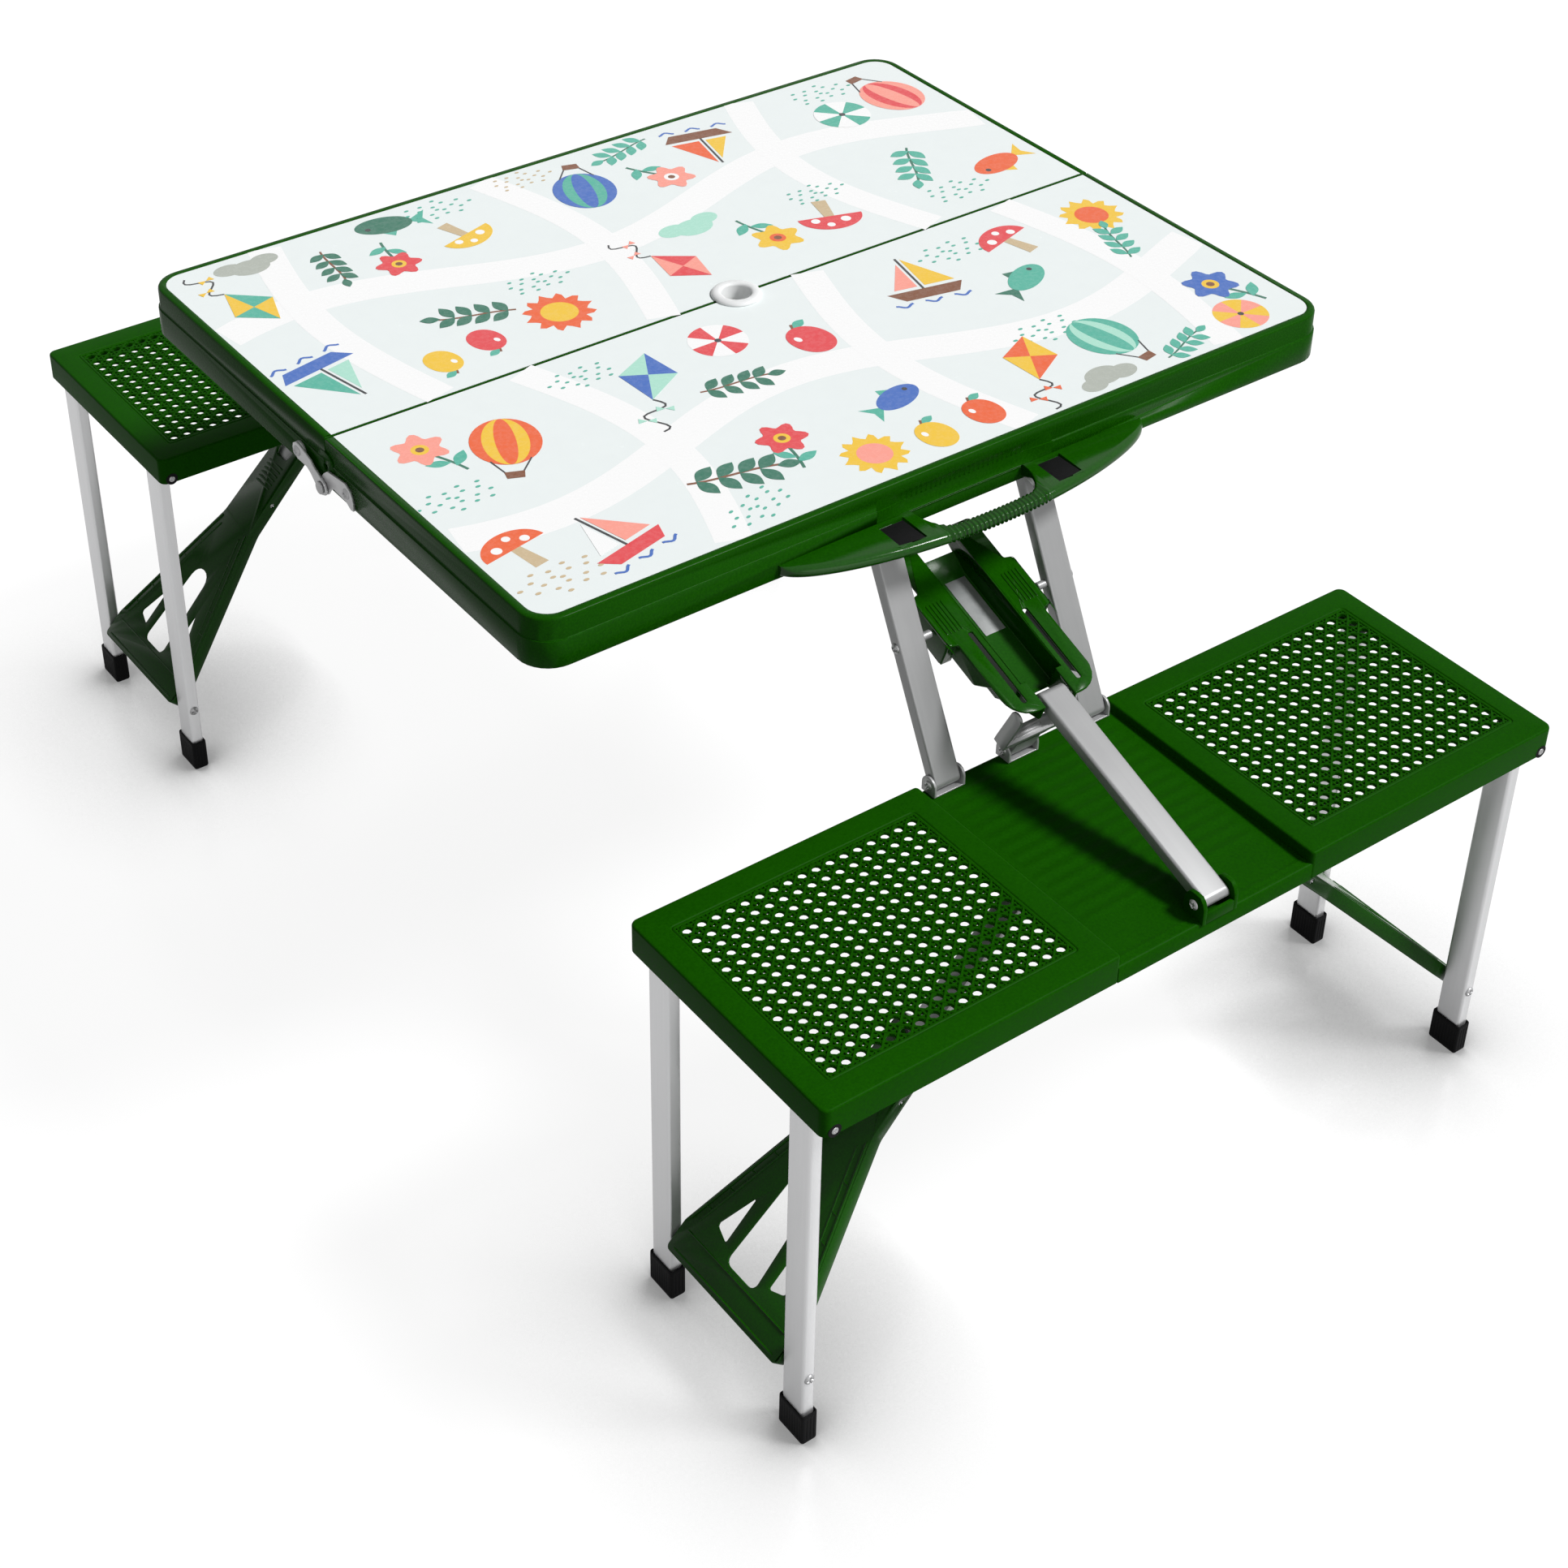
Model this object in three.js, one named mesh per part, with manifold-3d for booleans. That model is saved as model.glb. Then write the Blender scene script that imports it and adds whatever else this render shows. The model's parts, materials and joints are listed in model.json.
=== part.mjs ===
// Portable folding table with two attached benches, opened for use.
// Millimetres, Z up, floor at zero. The seam of the top runs along X and the front half lies at minus Y.
import * as THREE from "three";
import { mergeVertices } from "three/addons/utils/BufferGeometryUtils.js";
import Module from "manifold-3d";

const wasm = await Module();
wasm.setup();

// Table top
const TABLE_LENGTH = 860;
const HALF_WIDTH = 334;
const TABLE_HEIGHT = 660;
const RIM_DEPTH = 47;
const CORNER_RADIUS = 30;
const TRAY_WALL = 5;
const UPPER_STEP = 1.5;
const STEP_BELOW_TOP = 21;
const LIP_WIDTH = 9;
const LIP_ROUND = 2.5;
const SEAM_LIP = 1.4;
const SEAM_GAP = 0.6;
const SKIN_THICKNESS = 2;
const POCKET_DEPTH = 2.7;
const CEILING_BELOW_TOP = 6;

// Handle
const HANDLE_HALF_LENGTH = 198;
const HANDLE_REACH = 49;
const HANDLE_THICKNESS = 13;
const GRIP_HALF_LENGTH = 63;
const GRIP_BAR = 17;
const GRIP_RIBS = 17;
const GRIP_RIB_HEIGHT = 1;
const PAD_SIZE = 22;
const PAD_OFFSET = 86;
const PAD_DEPTH = 2;
const SCOOP_HALF_LENGTH = 95;
const SCOOP_RADIUS = 30;
const SCOOP_DEPTH = 3.2;

// Seam hinge and parasol ring
const LEAF_THICKNESS = 2.5;
const LEAF_RADIUS = 8;
const LEAF_SCREW_OUT = 40;
const LEAF_SCREW_UP = 15;
const HINGE_PIN_RADIUS = 3.5;
const HINGE_HEAD_RADIUS = 6;
const HINGE_HEAD_THICKNESS = 2.2;
const TONGUE_RADIUS = 15;
const TONGUE_UP = 19;
const TONGUE_THICKNESS = 3;
const RING_OUTER_RADIUS = 23.5;
const RING_HOLE_RADIUS = 13.75;
const RING_STEM_RADIUS = 16;
const RING_DOME = 3.7;
const RING_STEM_DEPTH = 20;

// Flat aluminium tube, the same stock for every leg and diagonal
const TUBE_WIDTH = 28;
const TUBE_THICKNESS = 13;
const TUBE_WALL = 1.6;
const TUBE_EDGE = 3;

// Table legs
const LEG_SPACING = 166;
const LEG_TOP_INSET = 26;
const LEG_TOP_DROP = 23;
const LEG_FOOT_INSET = 7;
const LEG_FOOT_RISE = 1;
const AXLE_RADIUS = 4;
const LUG_THICKNESS = 5;
const LUG_HALF_WIDTH = 12;
const RIVET_SHARE = 0.485;
const RIVET_RADIUS = 5;

// Bench
const BENCH_LENGTH = 810;
const BENCH_WIDTH = 262;
const BENCH_INNER_EDGE = 416;
const SEAT_HEIGHT = 407;
const BENCH_RIM = 29;
const BENCH_WALL = 3;
const BENCH_CORNER = 12;
const BENCH_EDGE_ROUND = 4.5;
const DECK_MARGIN = 6.9;
const DECK_DROP_INNER = 8;
const DECK_DROP_OUTER = 12;
const DECK_STEP_WALL = 3;
const DECK_RIBS = 9;
const DECK_RIB_HEIGHT = 0.8;
const WEB_COLUMNS = 8;
const WEB_ROWS = 7;
const WEB_HOLE_HALF = 6;
const WEB_MARGIN_X = 33.5;
const WEB_MARGIN_Y = 35.5;

// Clevis, diagonal, prop and centre brace
const CLEVIS_SHEET = 2.5;
const CLEVIS_RADIUS = 9;
const BRACKET_HALF_WIDTH = 19.5;
const BRACKET_EAR = 4.5;
const BRACKET_DEPTH = 24;
const BRACKET_TOP = 11;
const DIAGONAL_INSET = 10;
const DIAGONAL_RISE = 2;
const DIAGONAL_PIN_RADIUS = 3;
const KNEE_SHARE = 0.689;
const KNEE_END = 8;
const PROP_SHORT_OF_KNEE = 13;
const PROP_ARM_OUT = 31.7;
const PROP_ARM_THICKNESS = 2.6;
const PROP_ARM_WIDTH = 14;
const PROP_SADDLE_HEIGHT = 21;
const PROP_SADDLE_THICKNESS = 6;
const PROP_FOOT_WIDTH = 28;
const BRACE_PAST_KNEE = 10;
const BRACE_LENGTH = 186;
const BRACE_HALF_WIDTH = 48;
const BRACE_SHEET = 2.5;
const BRACE_TOP = 6;
const BRACE_DEPTH = 26;
const BRACE_TIP_DEPTH = 14;
const BRACE_TIP_RADIUS = 24;
const BRACE_SKIRT = 20;
const BRACE_SKIRT_START = 25;
const BRACE_FLOOR_END = 170;
const BRACE_TAPER_START = 150;
const CHANNEL_HALF_WIDTH = 22;
const CHANNEL_START = 17;
const WING_HALF_WIDTH = 57;
const WING_START = 76;
const WING_LENGTH = 58;
const WING_SKIRT = 27;
const WING_LEAN = 2;
const SLOT_WIDTH = 4.6;
const SLOT_START = 2;
const SLOT_END = 83;

// Bench end legs with their wishbone strut
const END_LEG_INSET = 11;
const END_LEG_PIVOT_DROP = 24;
const END_LEG_SPACING = 191;
const END_LEG_LIFT = 3;
const FOOT_CAP_HEIGHT = 34;
const FOOT_CAP_WALL = 1.4;
const PIVOT_BOLT_RADIUS = 3;
const PIVOT_HEAD_RADIUS = 4.6;
const PIVOT_HEAD_THICKNESS = 1.8;
const PIVOT_HEAD_RECESS = 0.8;
const WISHBONE_FOOT_HEIGHT = 76;
const WISHBONE_SHARE = 0.515;
const WISHBONE_BAR = 30;
const WISHBONE_BAR_BELOW = 12;
const WISHBONE_NECK_HALF = 24;
const WISHBONE_WINDOW_HALF = 20;
const WISHBONE_WINDOW_END = 14;
const WISHBONE_RIB = 11;
const WISHBONE_SIDE_WINDOW = 18;
const WISHBONE_NECK_LENGTH = 60;
const WISHBONE_SHOULDER_SHARE = 0.17;
const WISHBONE_SHOULDER_OUT = 4;
const WISHBONE_WINDOW_SHARE = 0.465;
const WISHBONE_SIDE_WINDOW_SHARE = 0.645;
const WISHBONE_SIDE_WINDOW_LIFT = 1.6;
const WISHBONE_DEPTH = 14;
const WISHBONE_FLOOR = 2.4;
const WISHBONE_WALL = 3;
const ANCHOR_INSET = 12;
const LINK_WIDTH = 24;
const LINK_THICKNESS = 7;
const LINK_PIN_RADIUS = 2;
const ANCHOR_LUG = 3;
const ANCHOR_LUG_HALF = 8;

// Gaps between pieces that touch or turn on each other
const FIT = 0.3;
const SLIDE_GAP = 0.6;
const SWING_GAP = 2.5;

// Heights and pivots that follow from the sizes
const RIM_BOTTOM = TABLE_HEIGHT - RIM_DEPTH;
const CEILING = TABLE_HEIGHT - CEILING_BELOW_TOP;
const POCKET_FLOOR = TABLE_HEIGHT - POCKET_DEPTH;
const SKIN_TOP = POCKET_FLOOR + FIT + SKIN_THICKNESS;
const BENCH_OUTER_EDGE = BENCH_INNER_EDGE + BENCH_WIDTH;
const BENCH_MIDDLE = BENCH_INNER_EDGE + BENCH_WIDTH / 2;
const BENCH_BOTTOM = SEAT_HEIGHT - BENCH_RIM;
const CLEVIS_HALF_WIDTH = TUBE_WIDTH / 2 + SLIDE_GAP + CLEVIS_SHEET;
const DECK_HALF_LENGTH = LEG_SPACING / 2 + CLEVIS_HALF_WIDTH + DECK_MARGIN;
const DECK_INNER = SEAT_HEIGHT - DECK_DROP_INNER;
const DECK_OUTER = SEAT_HEIGHT - DECK_DROP_OUTER;
const LEG_TOP = new THREE.Vector2(LEG_TOP_INSET - HALF_WIDTH, TABLE_HEIGHT - LEG_TOP_DROP);
const LEG_FOOT = new THREE.Vector2(-BENCH_INNER_EDGE - LEG_FOOT_INSET, SEAT_HEIGHT + LEG_FOOT_RISE);
const RIVET = LEG_FOOT.clone().lerp(LEG_TOP, RIVET_SHARE);
const DIAGONAL_FOOT = new THREE.Vector2(DIAGONAL_INSET - BENCH_OUTER_EDGE, SEAT_HEIGHT + DIAGONAL_RISE);
const KNEE = DIAGONAL_FOOT.clone().lerp(RIVET, KNEE_SHARE);
const END_LEG_X = BENCH_LENGTH / 2 - END_LEG_INSET;
const END_LEG_PIVOT = SEAT_HEIGHT - END_LEG_PIVOT_DROP;
const WISHBONE_FOOT = new THREE.Vector2(-END_LEG_X, WISHBONE_FOOT_HEIGHT);
const LINK_ANCHOR_FROM_CENTRE = DECK_HALF_LENGTH - ANCHOR_INSET;
const LINK_ANCHOR = new THREE.Vector2(-LINK_ANCHOR_FROM_CENTRE, END_LEG_PIVOT);
const WISHBONE_KNEE = WISHBONE_FOOT.clone().lerp(LINK_ANCHOR, WISHBONE_SHARE);

const GREEN = new THREE.MeshStandardMaterial({ color: 0x2c6a12, roughness: 0.45, metalness: 0 });
const WHITE = new THREE.MeshStandardMaterial({ color: 0xeef2f2, roughness: 0.3, metalness: 0 });
const BLACK = new THREE.MeshStandardMaterial({ color: 0x17181a, roughness: 0.6, metalness: 0 });
const ALUMINIUM = new THREE.MeshStandardMaterial({ color: 0xc4c8cb, roughness: 0.35, metalness: 0.9 });

// Closed solid from a geometry, moved by a matrix if there is one.
function solid(geometry, matrix = new THREE.Matrix4()) {
  const bare = geometry.index ? geometry.toNonIndexed() : geometry.clone();
  bare.deleteAttribute("normal");
  bare.deleteAttribute("uv");
  bare.applyMatrix4(matrix);
  const merged = mergeVertices(bare, 1e-4);
  const mesh = new wasm.Mesh({
    numProp: 3,
    vertProperties: merged.attributes.position.array,
    triVerts: new Uint32Array(merged.index.array),
  });
  return new wasm.Manifold(mesh);
}

function join(...solids) {
  return wasm.Manifold.union(solids);
}

function cut(body, ...tools) {
  return body.subtract(wasm.Manifold.union(tools));
}

// Closed outline through corners [u, v, radius], each rounded by its own radius.
function outline(corners) {
  const shape = new THREE.Shape();
  corners.forEach(([u, v, radius = 0], i) => {
    const corner = new THREE.Vector2(u, v);
    const previous = corners[(i + corners.length - 1) % corners.length];
    const next = corners[(i + 1) % corners.length];
    const back = new THREE.Vector2(previous[0], previous[1]).sub(corner).normalize();
    const ahead = new THREE.Vector2(next[0], next[1]).sub(corner).normalize();
    const half = Math.acos(THREE.MathUtils.clamp(back.dot(ahead), -1, 1)) / 2;
    const start = corner.clone().addScaledVector(back, radius / Math.tan(half));
    if (i === 0) shape.moveTo(start.x, start.y);
    else shape.lineTo(start.x, start.y);
    if (radius === 0) return;
    const end = corner.clone().addScaledVector(ahead, radius / Math.tan(half));
    const centre = back.clone().add(ahead).normalize();
    centre.multiplyScalar(radius / Math.sin(half)).add(corner);
    const from = start.sub(centre).angle();
    const to = end.sub(centre).angle();
    shape.absarc(centre.x, centre.y, radius, from, to, back.cross(ahead) > 0);
  });
  shape.closePath();
  return shape;
}

function rectangle(u0, u1, v0, v1, radius = 0) {
  return outline([[u0, v0, radius], [u1, v0, radius], [u1, v1, radius], [u0, v1, radius]]);
}

// Bar with round ends from one point to another.
function capsule(from, to, radius) {
  const turn = to.clone().sub(from).angle();
  const shape = new THREE.Shape();
  shape.absarc(from.x, from.y, radius, turn + Math.PI / 2, turn + Math.PI * 1.5, false);
  shape.absarc(to.x, to.y, radius, turn - Math.PI / 2, turn + Math.PI / 2, false);
  shape.closePath();
  return shape;
}

// Radius of an eight-sided hole that a round pin turns in freely.
function bore(pinRadius) {
  return pinRadius / Math.cos(Math.PI / 8) + FIT;
}

function disc(u, v, radius) {
  return new THREE.Shape().absarc(u, v, radius, 0, Math.PI * 2, false);
}

function extrude(shape, depth, arcs) {
  return new THREE.ExtrudeGeometry(shape, { depth, bevelEnabled: false, curveSegments: arcs });
}

const X_AXIS = new THREE.Vector3(1, 0, 0);
const Y_AXIS = new THREE.Vector3(0, 1, 0);
const Z_AXIS = new THREE.Vector3(0, 0, 1);

// Outline in X and Y, between two heights.
function alongZ(shape, from, to, arcs = 3) {
  return solid(extrude(shape, to - from, arcs), new THREE.Matrix4().makeTranslation(0, 0, from));
}

// Outline in Y and Z, between two places along X.
function alongX(shape, from, to, arcs = 3) {
  const matrix = new THREE.Matrix4().makeBasis(Y_AXIS, Z_AXIS, X_AXIS).setPosition(from, 0, 0);
  return solid(extrude(shape, to - from, arcs), matrix);
}

// Outline in X and Z, between two places along Y.
function alongY(shape, from, to, arcs = 3) {
  const inward = Y_AXIS.clone().negate();
  const matrix = new THREE.Matrix4().makeBasis(X_AXIS, Z_AXIS, inward).setPosition(0, to, 0);
  return solid(extrude(shape, to - from, arcs), matrix);
}

function block(x0, x1, y0, y1, z0, z1) {
  const box = new THREE.BoxGeometry(x1 - x0, y1 - y0, z1 - z0);
  return solid(box.translate((x0 + x1) / 2, (y0 + y1) / 2, (z0 + z1) / 2));
}

function bothSides(body) {
  return join(body, body.mirror([1, 0, 0]));
}

function piece(name, body, material) {
  const mesh = body.getMesh();
  const geometry = new THREE.BufferGeometry();
  geometry.setAttribute("position", new THREE.BufferAttribute(mesh.vertProperties, 3));
  geometry.setIndex(new THREE.BufferAttribute(mesh.triVerts, 1));
  const flat = geometry.toNonIndexed();
  flat.computeVertexNormals();
  const made = new THREE.Mesh(flat, material);
  made.name = name;
  return made;
}

// Puts a member drawn along its own Y, with its top along Z, on a line in the Y and Z plane.
function layInDepth(member, from, to) {
  const turn = to.clone().sub(from).angle();
  member.rotation.x = turn;
  member.position.set(member.position.x, from.x, from.y);
  return member;
}

// Puts a member drawn along its own X, with its top along Z, on a line in the X and Z plane.
function layInLength(member, from, to, y) {
  member.rotation.y = -to.clone().sub(from).angle();
  member.position.set(from.x, y, from.y);
  return member;
}

// Flat tube along Y from its first pivot, with round ends.
function tubeAlongY(length, pastEnd) {
  const halfWidth = TUBE_WIDTH / 2;
  const half = TUBE_THICKNESS / 2;
  const section = rectangle(-halfWidth, halfWidth, -half, half, TUBE_EDGE);
  const bore = rectangle(TUBE_WALL - halfWidth, halfWidth - TUBE_WALL, TUBE_WALL - half, half - TUBE_WALL);
  section.holes.push(bore);
  const stock = alongY(section, -half, length + pastEnd, 1);
  const start = new THREE.Vector2(0, 0);
  const end = new THREE.Vector2(length + pastEnd - half, 0);
  const profile = alongX(capsule(start, end, half), -TUBE_WIDTH, TUBE_WIDTH, 3);
  return stock.intersect(profile);
}

// Table tray half: rim, ceiling, handle, axle lugs and the seam details.
function trayOutline(inset, seamInset) {
  const x = TABLE_LENGTH / 2 - inset;
  const front = inset - HALF_WIDTH;
  const seam = -SEAM_GAP / 2 - seamInset;
  const radius = CORNER_RADIUS - inset;
  return outline([[-x, front, radius], [x, front, radius], [x, seam], [-x, seam]]);
}

function trayShell() {
  const stepHeight = TABLE_HEIGHT - STEP_BELOW_TOP;
  const lower = alongZ(trayOutline(0, 0), RIM_BOTTOM, stepHeight, 4);
  const upperShape = trayOutline(UPPER_STEP + LIP_ROUND, LIP_ROUND);
  const upperDepth = TABLE_HEIGHT - RIM_BOTTOM - TRAY_WALL - 2 * LIP_ROUND;
  const upperGeometry = new THREE.ExtrudeGeometry(upperShape, {
    depth: upperDepth,
    bevelThickness: LIP_ROUND,
    bevelSize: LIP_ROUND,
    bevelSegments: 2,
    curveSegments: 4,
  });
  const upper = solid(upperGeometry.translate(0, 0, RIM_BOTTOM + TRAY_WALL + LIP_ROUND));
  const cavity = alongZ(trayOutline(TRAY_WALL, TRAY_WALL), RIM_BOTTOM - TRAY_WALL, CEILING, 4);
  const pocket = alongZ(trayOutline(LIP_WIDTH, SEAM_LIP), POCKET_FLOOR, TABLE_HEIGHT + LIP_ROUND, 4);
  return cut(join(lower, upper), cavity, pocket);
}

// Half-lens plate at the bottom of the front rim with a finger gap and a ribbed grip bar.
function handleEdge(x, width) {
  const share = x / HANDLE_HALF_LENGTH;
  return -HALF_WIDTH - HANDLE_REACH * Math.sqrt(1 - share * share) * (1 - 0.12 * share * share) + width;
}

function handlePlate() {
  const edge = (half, width, steps) =>
    Array.from({ length: steps + 1 }, (_, i) => {
      const x = half * Math.sin((i / steps - 0.5) * Math.PI);
      return new THREE.Vector2(x, handleEdge(x, width));
    });
  const rimLine = -HALF_WIDTH + TRAY_WALL / 2;
  const plan = new THREE.Shape(edge(HANDLE_HALF_LENGTH, 0, 18));
  plan.lineTo(HANDLE_HALF_LENGTH, rimLine);
  plan.lineTo(-HANDLE_HALF_LENGTH, rimLine);
  plan.closePath();
  const plate = alongZ(plan, RIM_BOTTOM, RIM_BOTTOM + HANDLE_THICKNESS);
  const gap = new THREE.Shape(edge(GRIP_HALF_LENGTH, GRIP_BAR, 8));
  gap.lineTo(GRIP_HALF_LENGTH, -HALF_WIDTH - SLIDE_GAP);
  gap.lineTo(-GRIP_HALF_LENGTH, -HALF_WIDTH - SLIDE_GAP);
  gap.closePath();
  const gapTool = alongZ(gap, RIM_BOTTOM - TRAY_WALL, TABLE_HEIGHT);
  const top = RIM_BOTTOM + HANDLE_THICKNESS;
  const ribs = Array.from({ length: GRIP_RIBS }, (_, i) => {
    const x = GRIP_HALF_LENGTH * ((2 * i + 1) / GRIP_RIBS - 1);
    const y = handleEdge(x, SLIDE_GAP);
    const half = GRIP_HALF_LENGTH / GRIP_RIBS / 2;
    const inner = y + GRIP_BAR - 3 * SLIDE_GAP;
    return block(x - half, x + half, y + SLIDE_GAP, inner, top - GRIP_RIB_HEIGHT, top + GRIP_RIB_HEIGHT);
  });
  return join(cut(plate, gapTool), ...ribs);
}

function padPlace() {
  return -HALF_WIDTH - SLIDE_GAP - PAD_SIZE / 2;
}

function tray() {
  const half = TABLE_LENGTH / 2;
  const top = RIM_BOTTOM + HANDLE_THICKNESS;
  const padHalf = PAD_SIZE / 2 + FIT;
  const padY = padPlace();
  const pad = block(
    PAD_OFFSET - padHalf,
    PAD_OFFSET + padHalf,
    padY - padHalf,
    padY + padHalf,
    top - PAD_DEPTH,
    top + FIT,
  );
  const scoopAxis = -HALF_WIDTH - SCOOP_RADIUS + SCOOP_DEPTH;
  const scoopHeight = TABLE_HEIGHT - STEP_BELOW_TOP;
  const scoop = alongX(disc(scoopAxis, scoopHeight, SCOOP_RADIUS), -SCOOP_HALF_LENGTH, SCOOP_HALF_LENGTH, 10);
  const scoopAbove = scoop.intersect(
    block(-half, half, -2 * HALF_WIDTH, 0, top + GRIP_RIB_HEIGHT, TABLE_HEIGHT),
  );
  const tongueCentre = disc(0, RIM_BOTTOM + TONGUE_UP, TONGUE_RADIUS);
  const tongueHole = disc(SLIDE_GAP, RIM_BOTTOM + TONGUE_UP, HINGE_PIN_RADIUS);
  const tongueFace = half - FIT;
  const tongue = alongX(tongueCentre, tongueFace - TONGUE_THICKNESS, tongueFace, 8);
  const recessShape = disc(0, RIM_BOTTOM + TONGUE_UP - SLIDE_GAP, TONGUE_RADIUS + 2 * SLIDE_GAP);
  const recessDepth = TONGUE_THICKNESS + 2 * FIT;
  const recess = alongX(recessShape, -half - TRAY_WALL, recessDepth - half, 8);
  const stem = disc(0, 0, RING_STEM_RADIUS + FIT);
  const stemHole = alongZ(stem, RIM_BOTTOM - TRAY_WALL, TABLE_HEIGHT + LIP_ROUND, 8);
  const pinEnd = half - 2 * TRAY_WALL - HINGE_HEAD_THICKNESS;
  const pinNotch = alongX(disc(0, RIM_BOTTOM, HINGE_HEAD_RADIUS + SLIDE_GAP), pinEnd, half + TRAY_WALL, 4);
  const lugShape = outline([
    [LEG_TOP.x - LUG_HALF_WIDTH, CEILING + FIT],
    [LEG_TOP.x - LUG_HALF_WIDTH, LEG_TOP.y - LUG_HALF_WIDTH / 2, LUG_HALF_WIDTH / 2],
    [LEG_TOP.x + LUG_HALF_WIDTH, LEG_TOP.y - LUG_HALF_WIDTH / 2, LUG_HALF_WIDTH / 2],
    [LEG_TOP.x + LUG_HALF_WIDTH, CEILING + FIT],
  ]);
  const axleHole = new THREE.Path().absarc(LEG_TOP.x, LEG_TOP.y, bore(AXLE_RADIUS), 0, Math.PI * 2, true);
  lugShape.holes.push(axleHole);
  const innerLug = LEG_SPACING / 2 - TUBE_WIDTH / 2 - SLIDE_GAP;
  const outerLug = LEG_SPACING / 2 + TUBE_WIDTH / 2 + SLIDE_GAP;
  const lugs = [
    alongX(lugShape, innerLug - LUG_THICKNESS, innerLug, 4),
    alongX(lugShape, outerLug, outerLug + LUG_THICKNESS, 4),
  ];
  const shell = cut(trayShell(), scoopAbove, recess, stemHole, bothSides(pinNotch));
  const withHandle = cut(join(shell, handlePlate(), bothSides(join(...lugs)), tongue), bothSides(pad));
  return cut(withHandle, alongX(tongueHole, tongueFace - TONGUE_THICKNESS - FIT, half, 4));
}

function topSkin() {
  const shape = trayOutline(LIP_WIDTH + FIT, SEAM_LIP + FIT);
  const skin = alongZ(shape, POCKET_FLOOR + FIT, SKIN_TOP, 4);
  return cut(skin, alongZ(disc(0, 0, RING_STEM_RADIUS + FIT), POCKET_FLOOR, TABLE_HEIGHT + LIP_ROUND, 8));
}

// Hinge leaves lie on the end walls and turn about the bottom edge of the seam.
function leafOutline(hole) {
  const pivot = new THREE.Vector2(0, RIM_BOTTOM);
  const screw = new THREE.Vector2(-LEAF_SCREW_OUT, RIM_BOTTOM + LEAF_SCREW_UP);
  const shape = capsule(screw, pivot, LEAF_RADIUS);
  if (hole) shape.holes.push(new THREE.Path().absarc(0, RIM_BOTTOM, hole, 0, Math.PI * 2, true));
  return shape;
}

function innerLeaf() {
  const face = -TABLE_LENGTH / 2 - FIT;
  return alongX(leafOutline(bore(HINGE_PIN_RADIUS)), face - LEAF_THICKNESS, face, 5);
}

function outerLeaf() {
  const face = TABLE_LENGTH / 2 + FIT;
  const arm = face + LEAF_THICKNESS + FIT;
  const plate = alongX(leafOutline(bore(HINGE_PIN_RADIUS)), arm, arm + LEAF_THICKNESS, 5);
  const foot = disc(-LEAF_SCREW_OUT, RIM_BOTTOM + LEAF_SCREW_UP, LEAF_RADIUS);
  return join(plate, alongX(foot, face, arm + FIT, 5));
}

function hingePin() {
  const inner = -TABLE_LENGTH / 2 + TRAY_WALL + SLIDE_GAP;
  const outer = -TABLE_LENGTH / 2 - 2 * LEAF_THICKNESS - 3 * FIT;
  const shaft = disc(0, RIM_BOTTOM, HINGE_PIN_RADIUS);
  const head = disc(0, RIM_BOTTOM, HINGE_HEAD_RADIUS);
  return join(
    alongX(shaft, outer - FIT, inner + FIT, 5),
    alongX(head, outer - HINGE_HEAD_THICKNESS, outer, 5),
    alongX(head, inner, inner + HINGE_HEAD_THICKNESS, 5),
  );
}

function parasolRing() {
  const base = SKIN_TOP + FIT;
  const profile = [
    [RING_HOLE_RADIUS, base - RING_STEM_DEPTH],
    [RING_STEM_RADIUS, base - RING_STEM_DEPTH],
    [RING_STEM_RADIUS, base],
    [RING_OUTER_RADIUS, base],
    [RING_OUTER_RADIUS - 0.1 * RING_DOME, base + 0.35 * RING_DOME],
    [RING_OUTER_RADIUS - 0.9 * RING_DOME, base + 0.9 * RING_DOME],
    [RING_OUTER_RADIUS - 1.8 * RING_DOME, base + RING_DOME],
    [RING_HOLE_RADIUS + 0.3 * RING_DOME, base + 0.8 * RING_DOME],
    [RING_HOLE_RADIUS, base + 0.5 * RING_DOME],
    [RING_HOLE_RADIUS, base - RING_STEM_DEPTH],
  ];
  const points = profile.map(([r, z]) => new THREE.Vector2(r, z));
  return solid(new THREE.LatheGeometry(points, 20), new THREE.Matrix4().makeRotationX(Math.PI / 2));
}

function handlePad() {
  const half = PAD_SIZE / 2;
  const floor = RIM_BOTTOM + HANDLE_THICKNESS - PAD_DEPTH;
  return alongZ(rectangle(-half, half, -half, half, 2), floor + FIT, floor + PAD_DEPTH - FIT, 1);
}

// Table leg, drawn from its foot pivot to the axle. The rivet stub faces the brace.
function tableLeg(side) {
  const length = LEG_TOP.distanceTo(LEG_FOOT);
  const holes = [disc(0, 0, bore(AXLE_RADIUS)), disc(length, 0, bore(AXLE_RADIUS))];
  const tube = cut(tubeAlongY(length, TUBE_THICKNESS / 2), alongX(holes, -TUBE_WIDTH, TUBE_WIDTH, 4));
  const rivet = disc(RIVET.distanceTo(LEG_FOOT), 0, RIVET_RADIUS);
  const reach = LEG_SPACING / 2 - WING_HALF_WIDTH - SWING_GAP;
  const stub = alongX(rivet, -reach, FIT - TUBE_WIDTH / 2 + TUBE_WALL / 2, 5);
  const right = join(tube, stub);
  return side > 0 ? right : right.mirror([1, 0, 0]);
}

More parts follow.
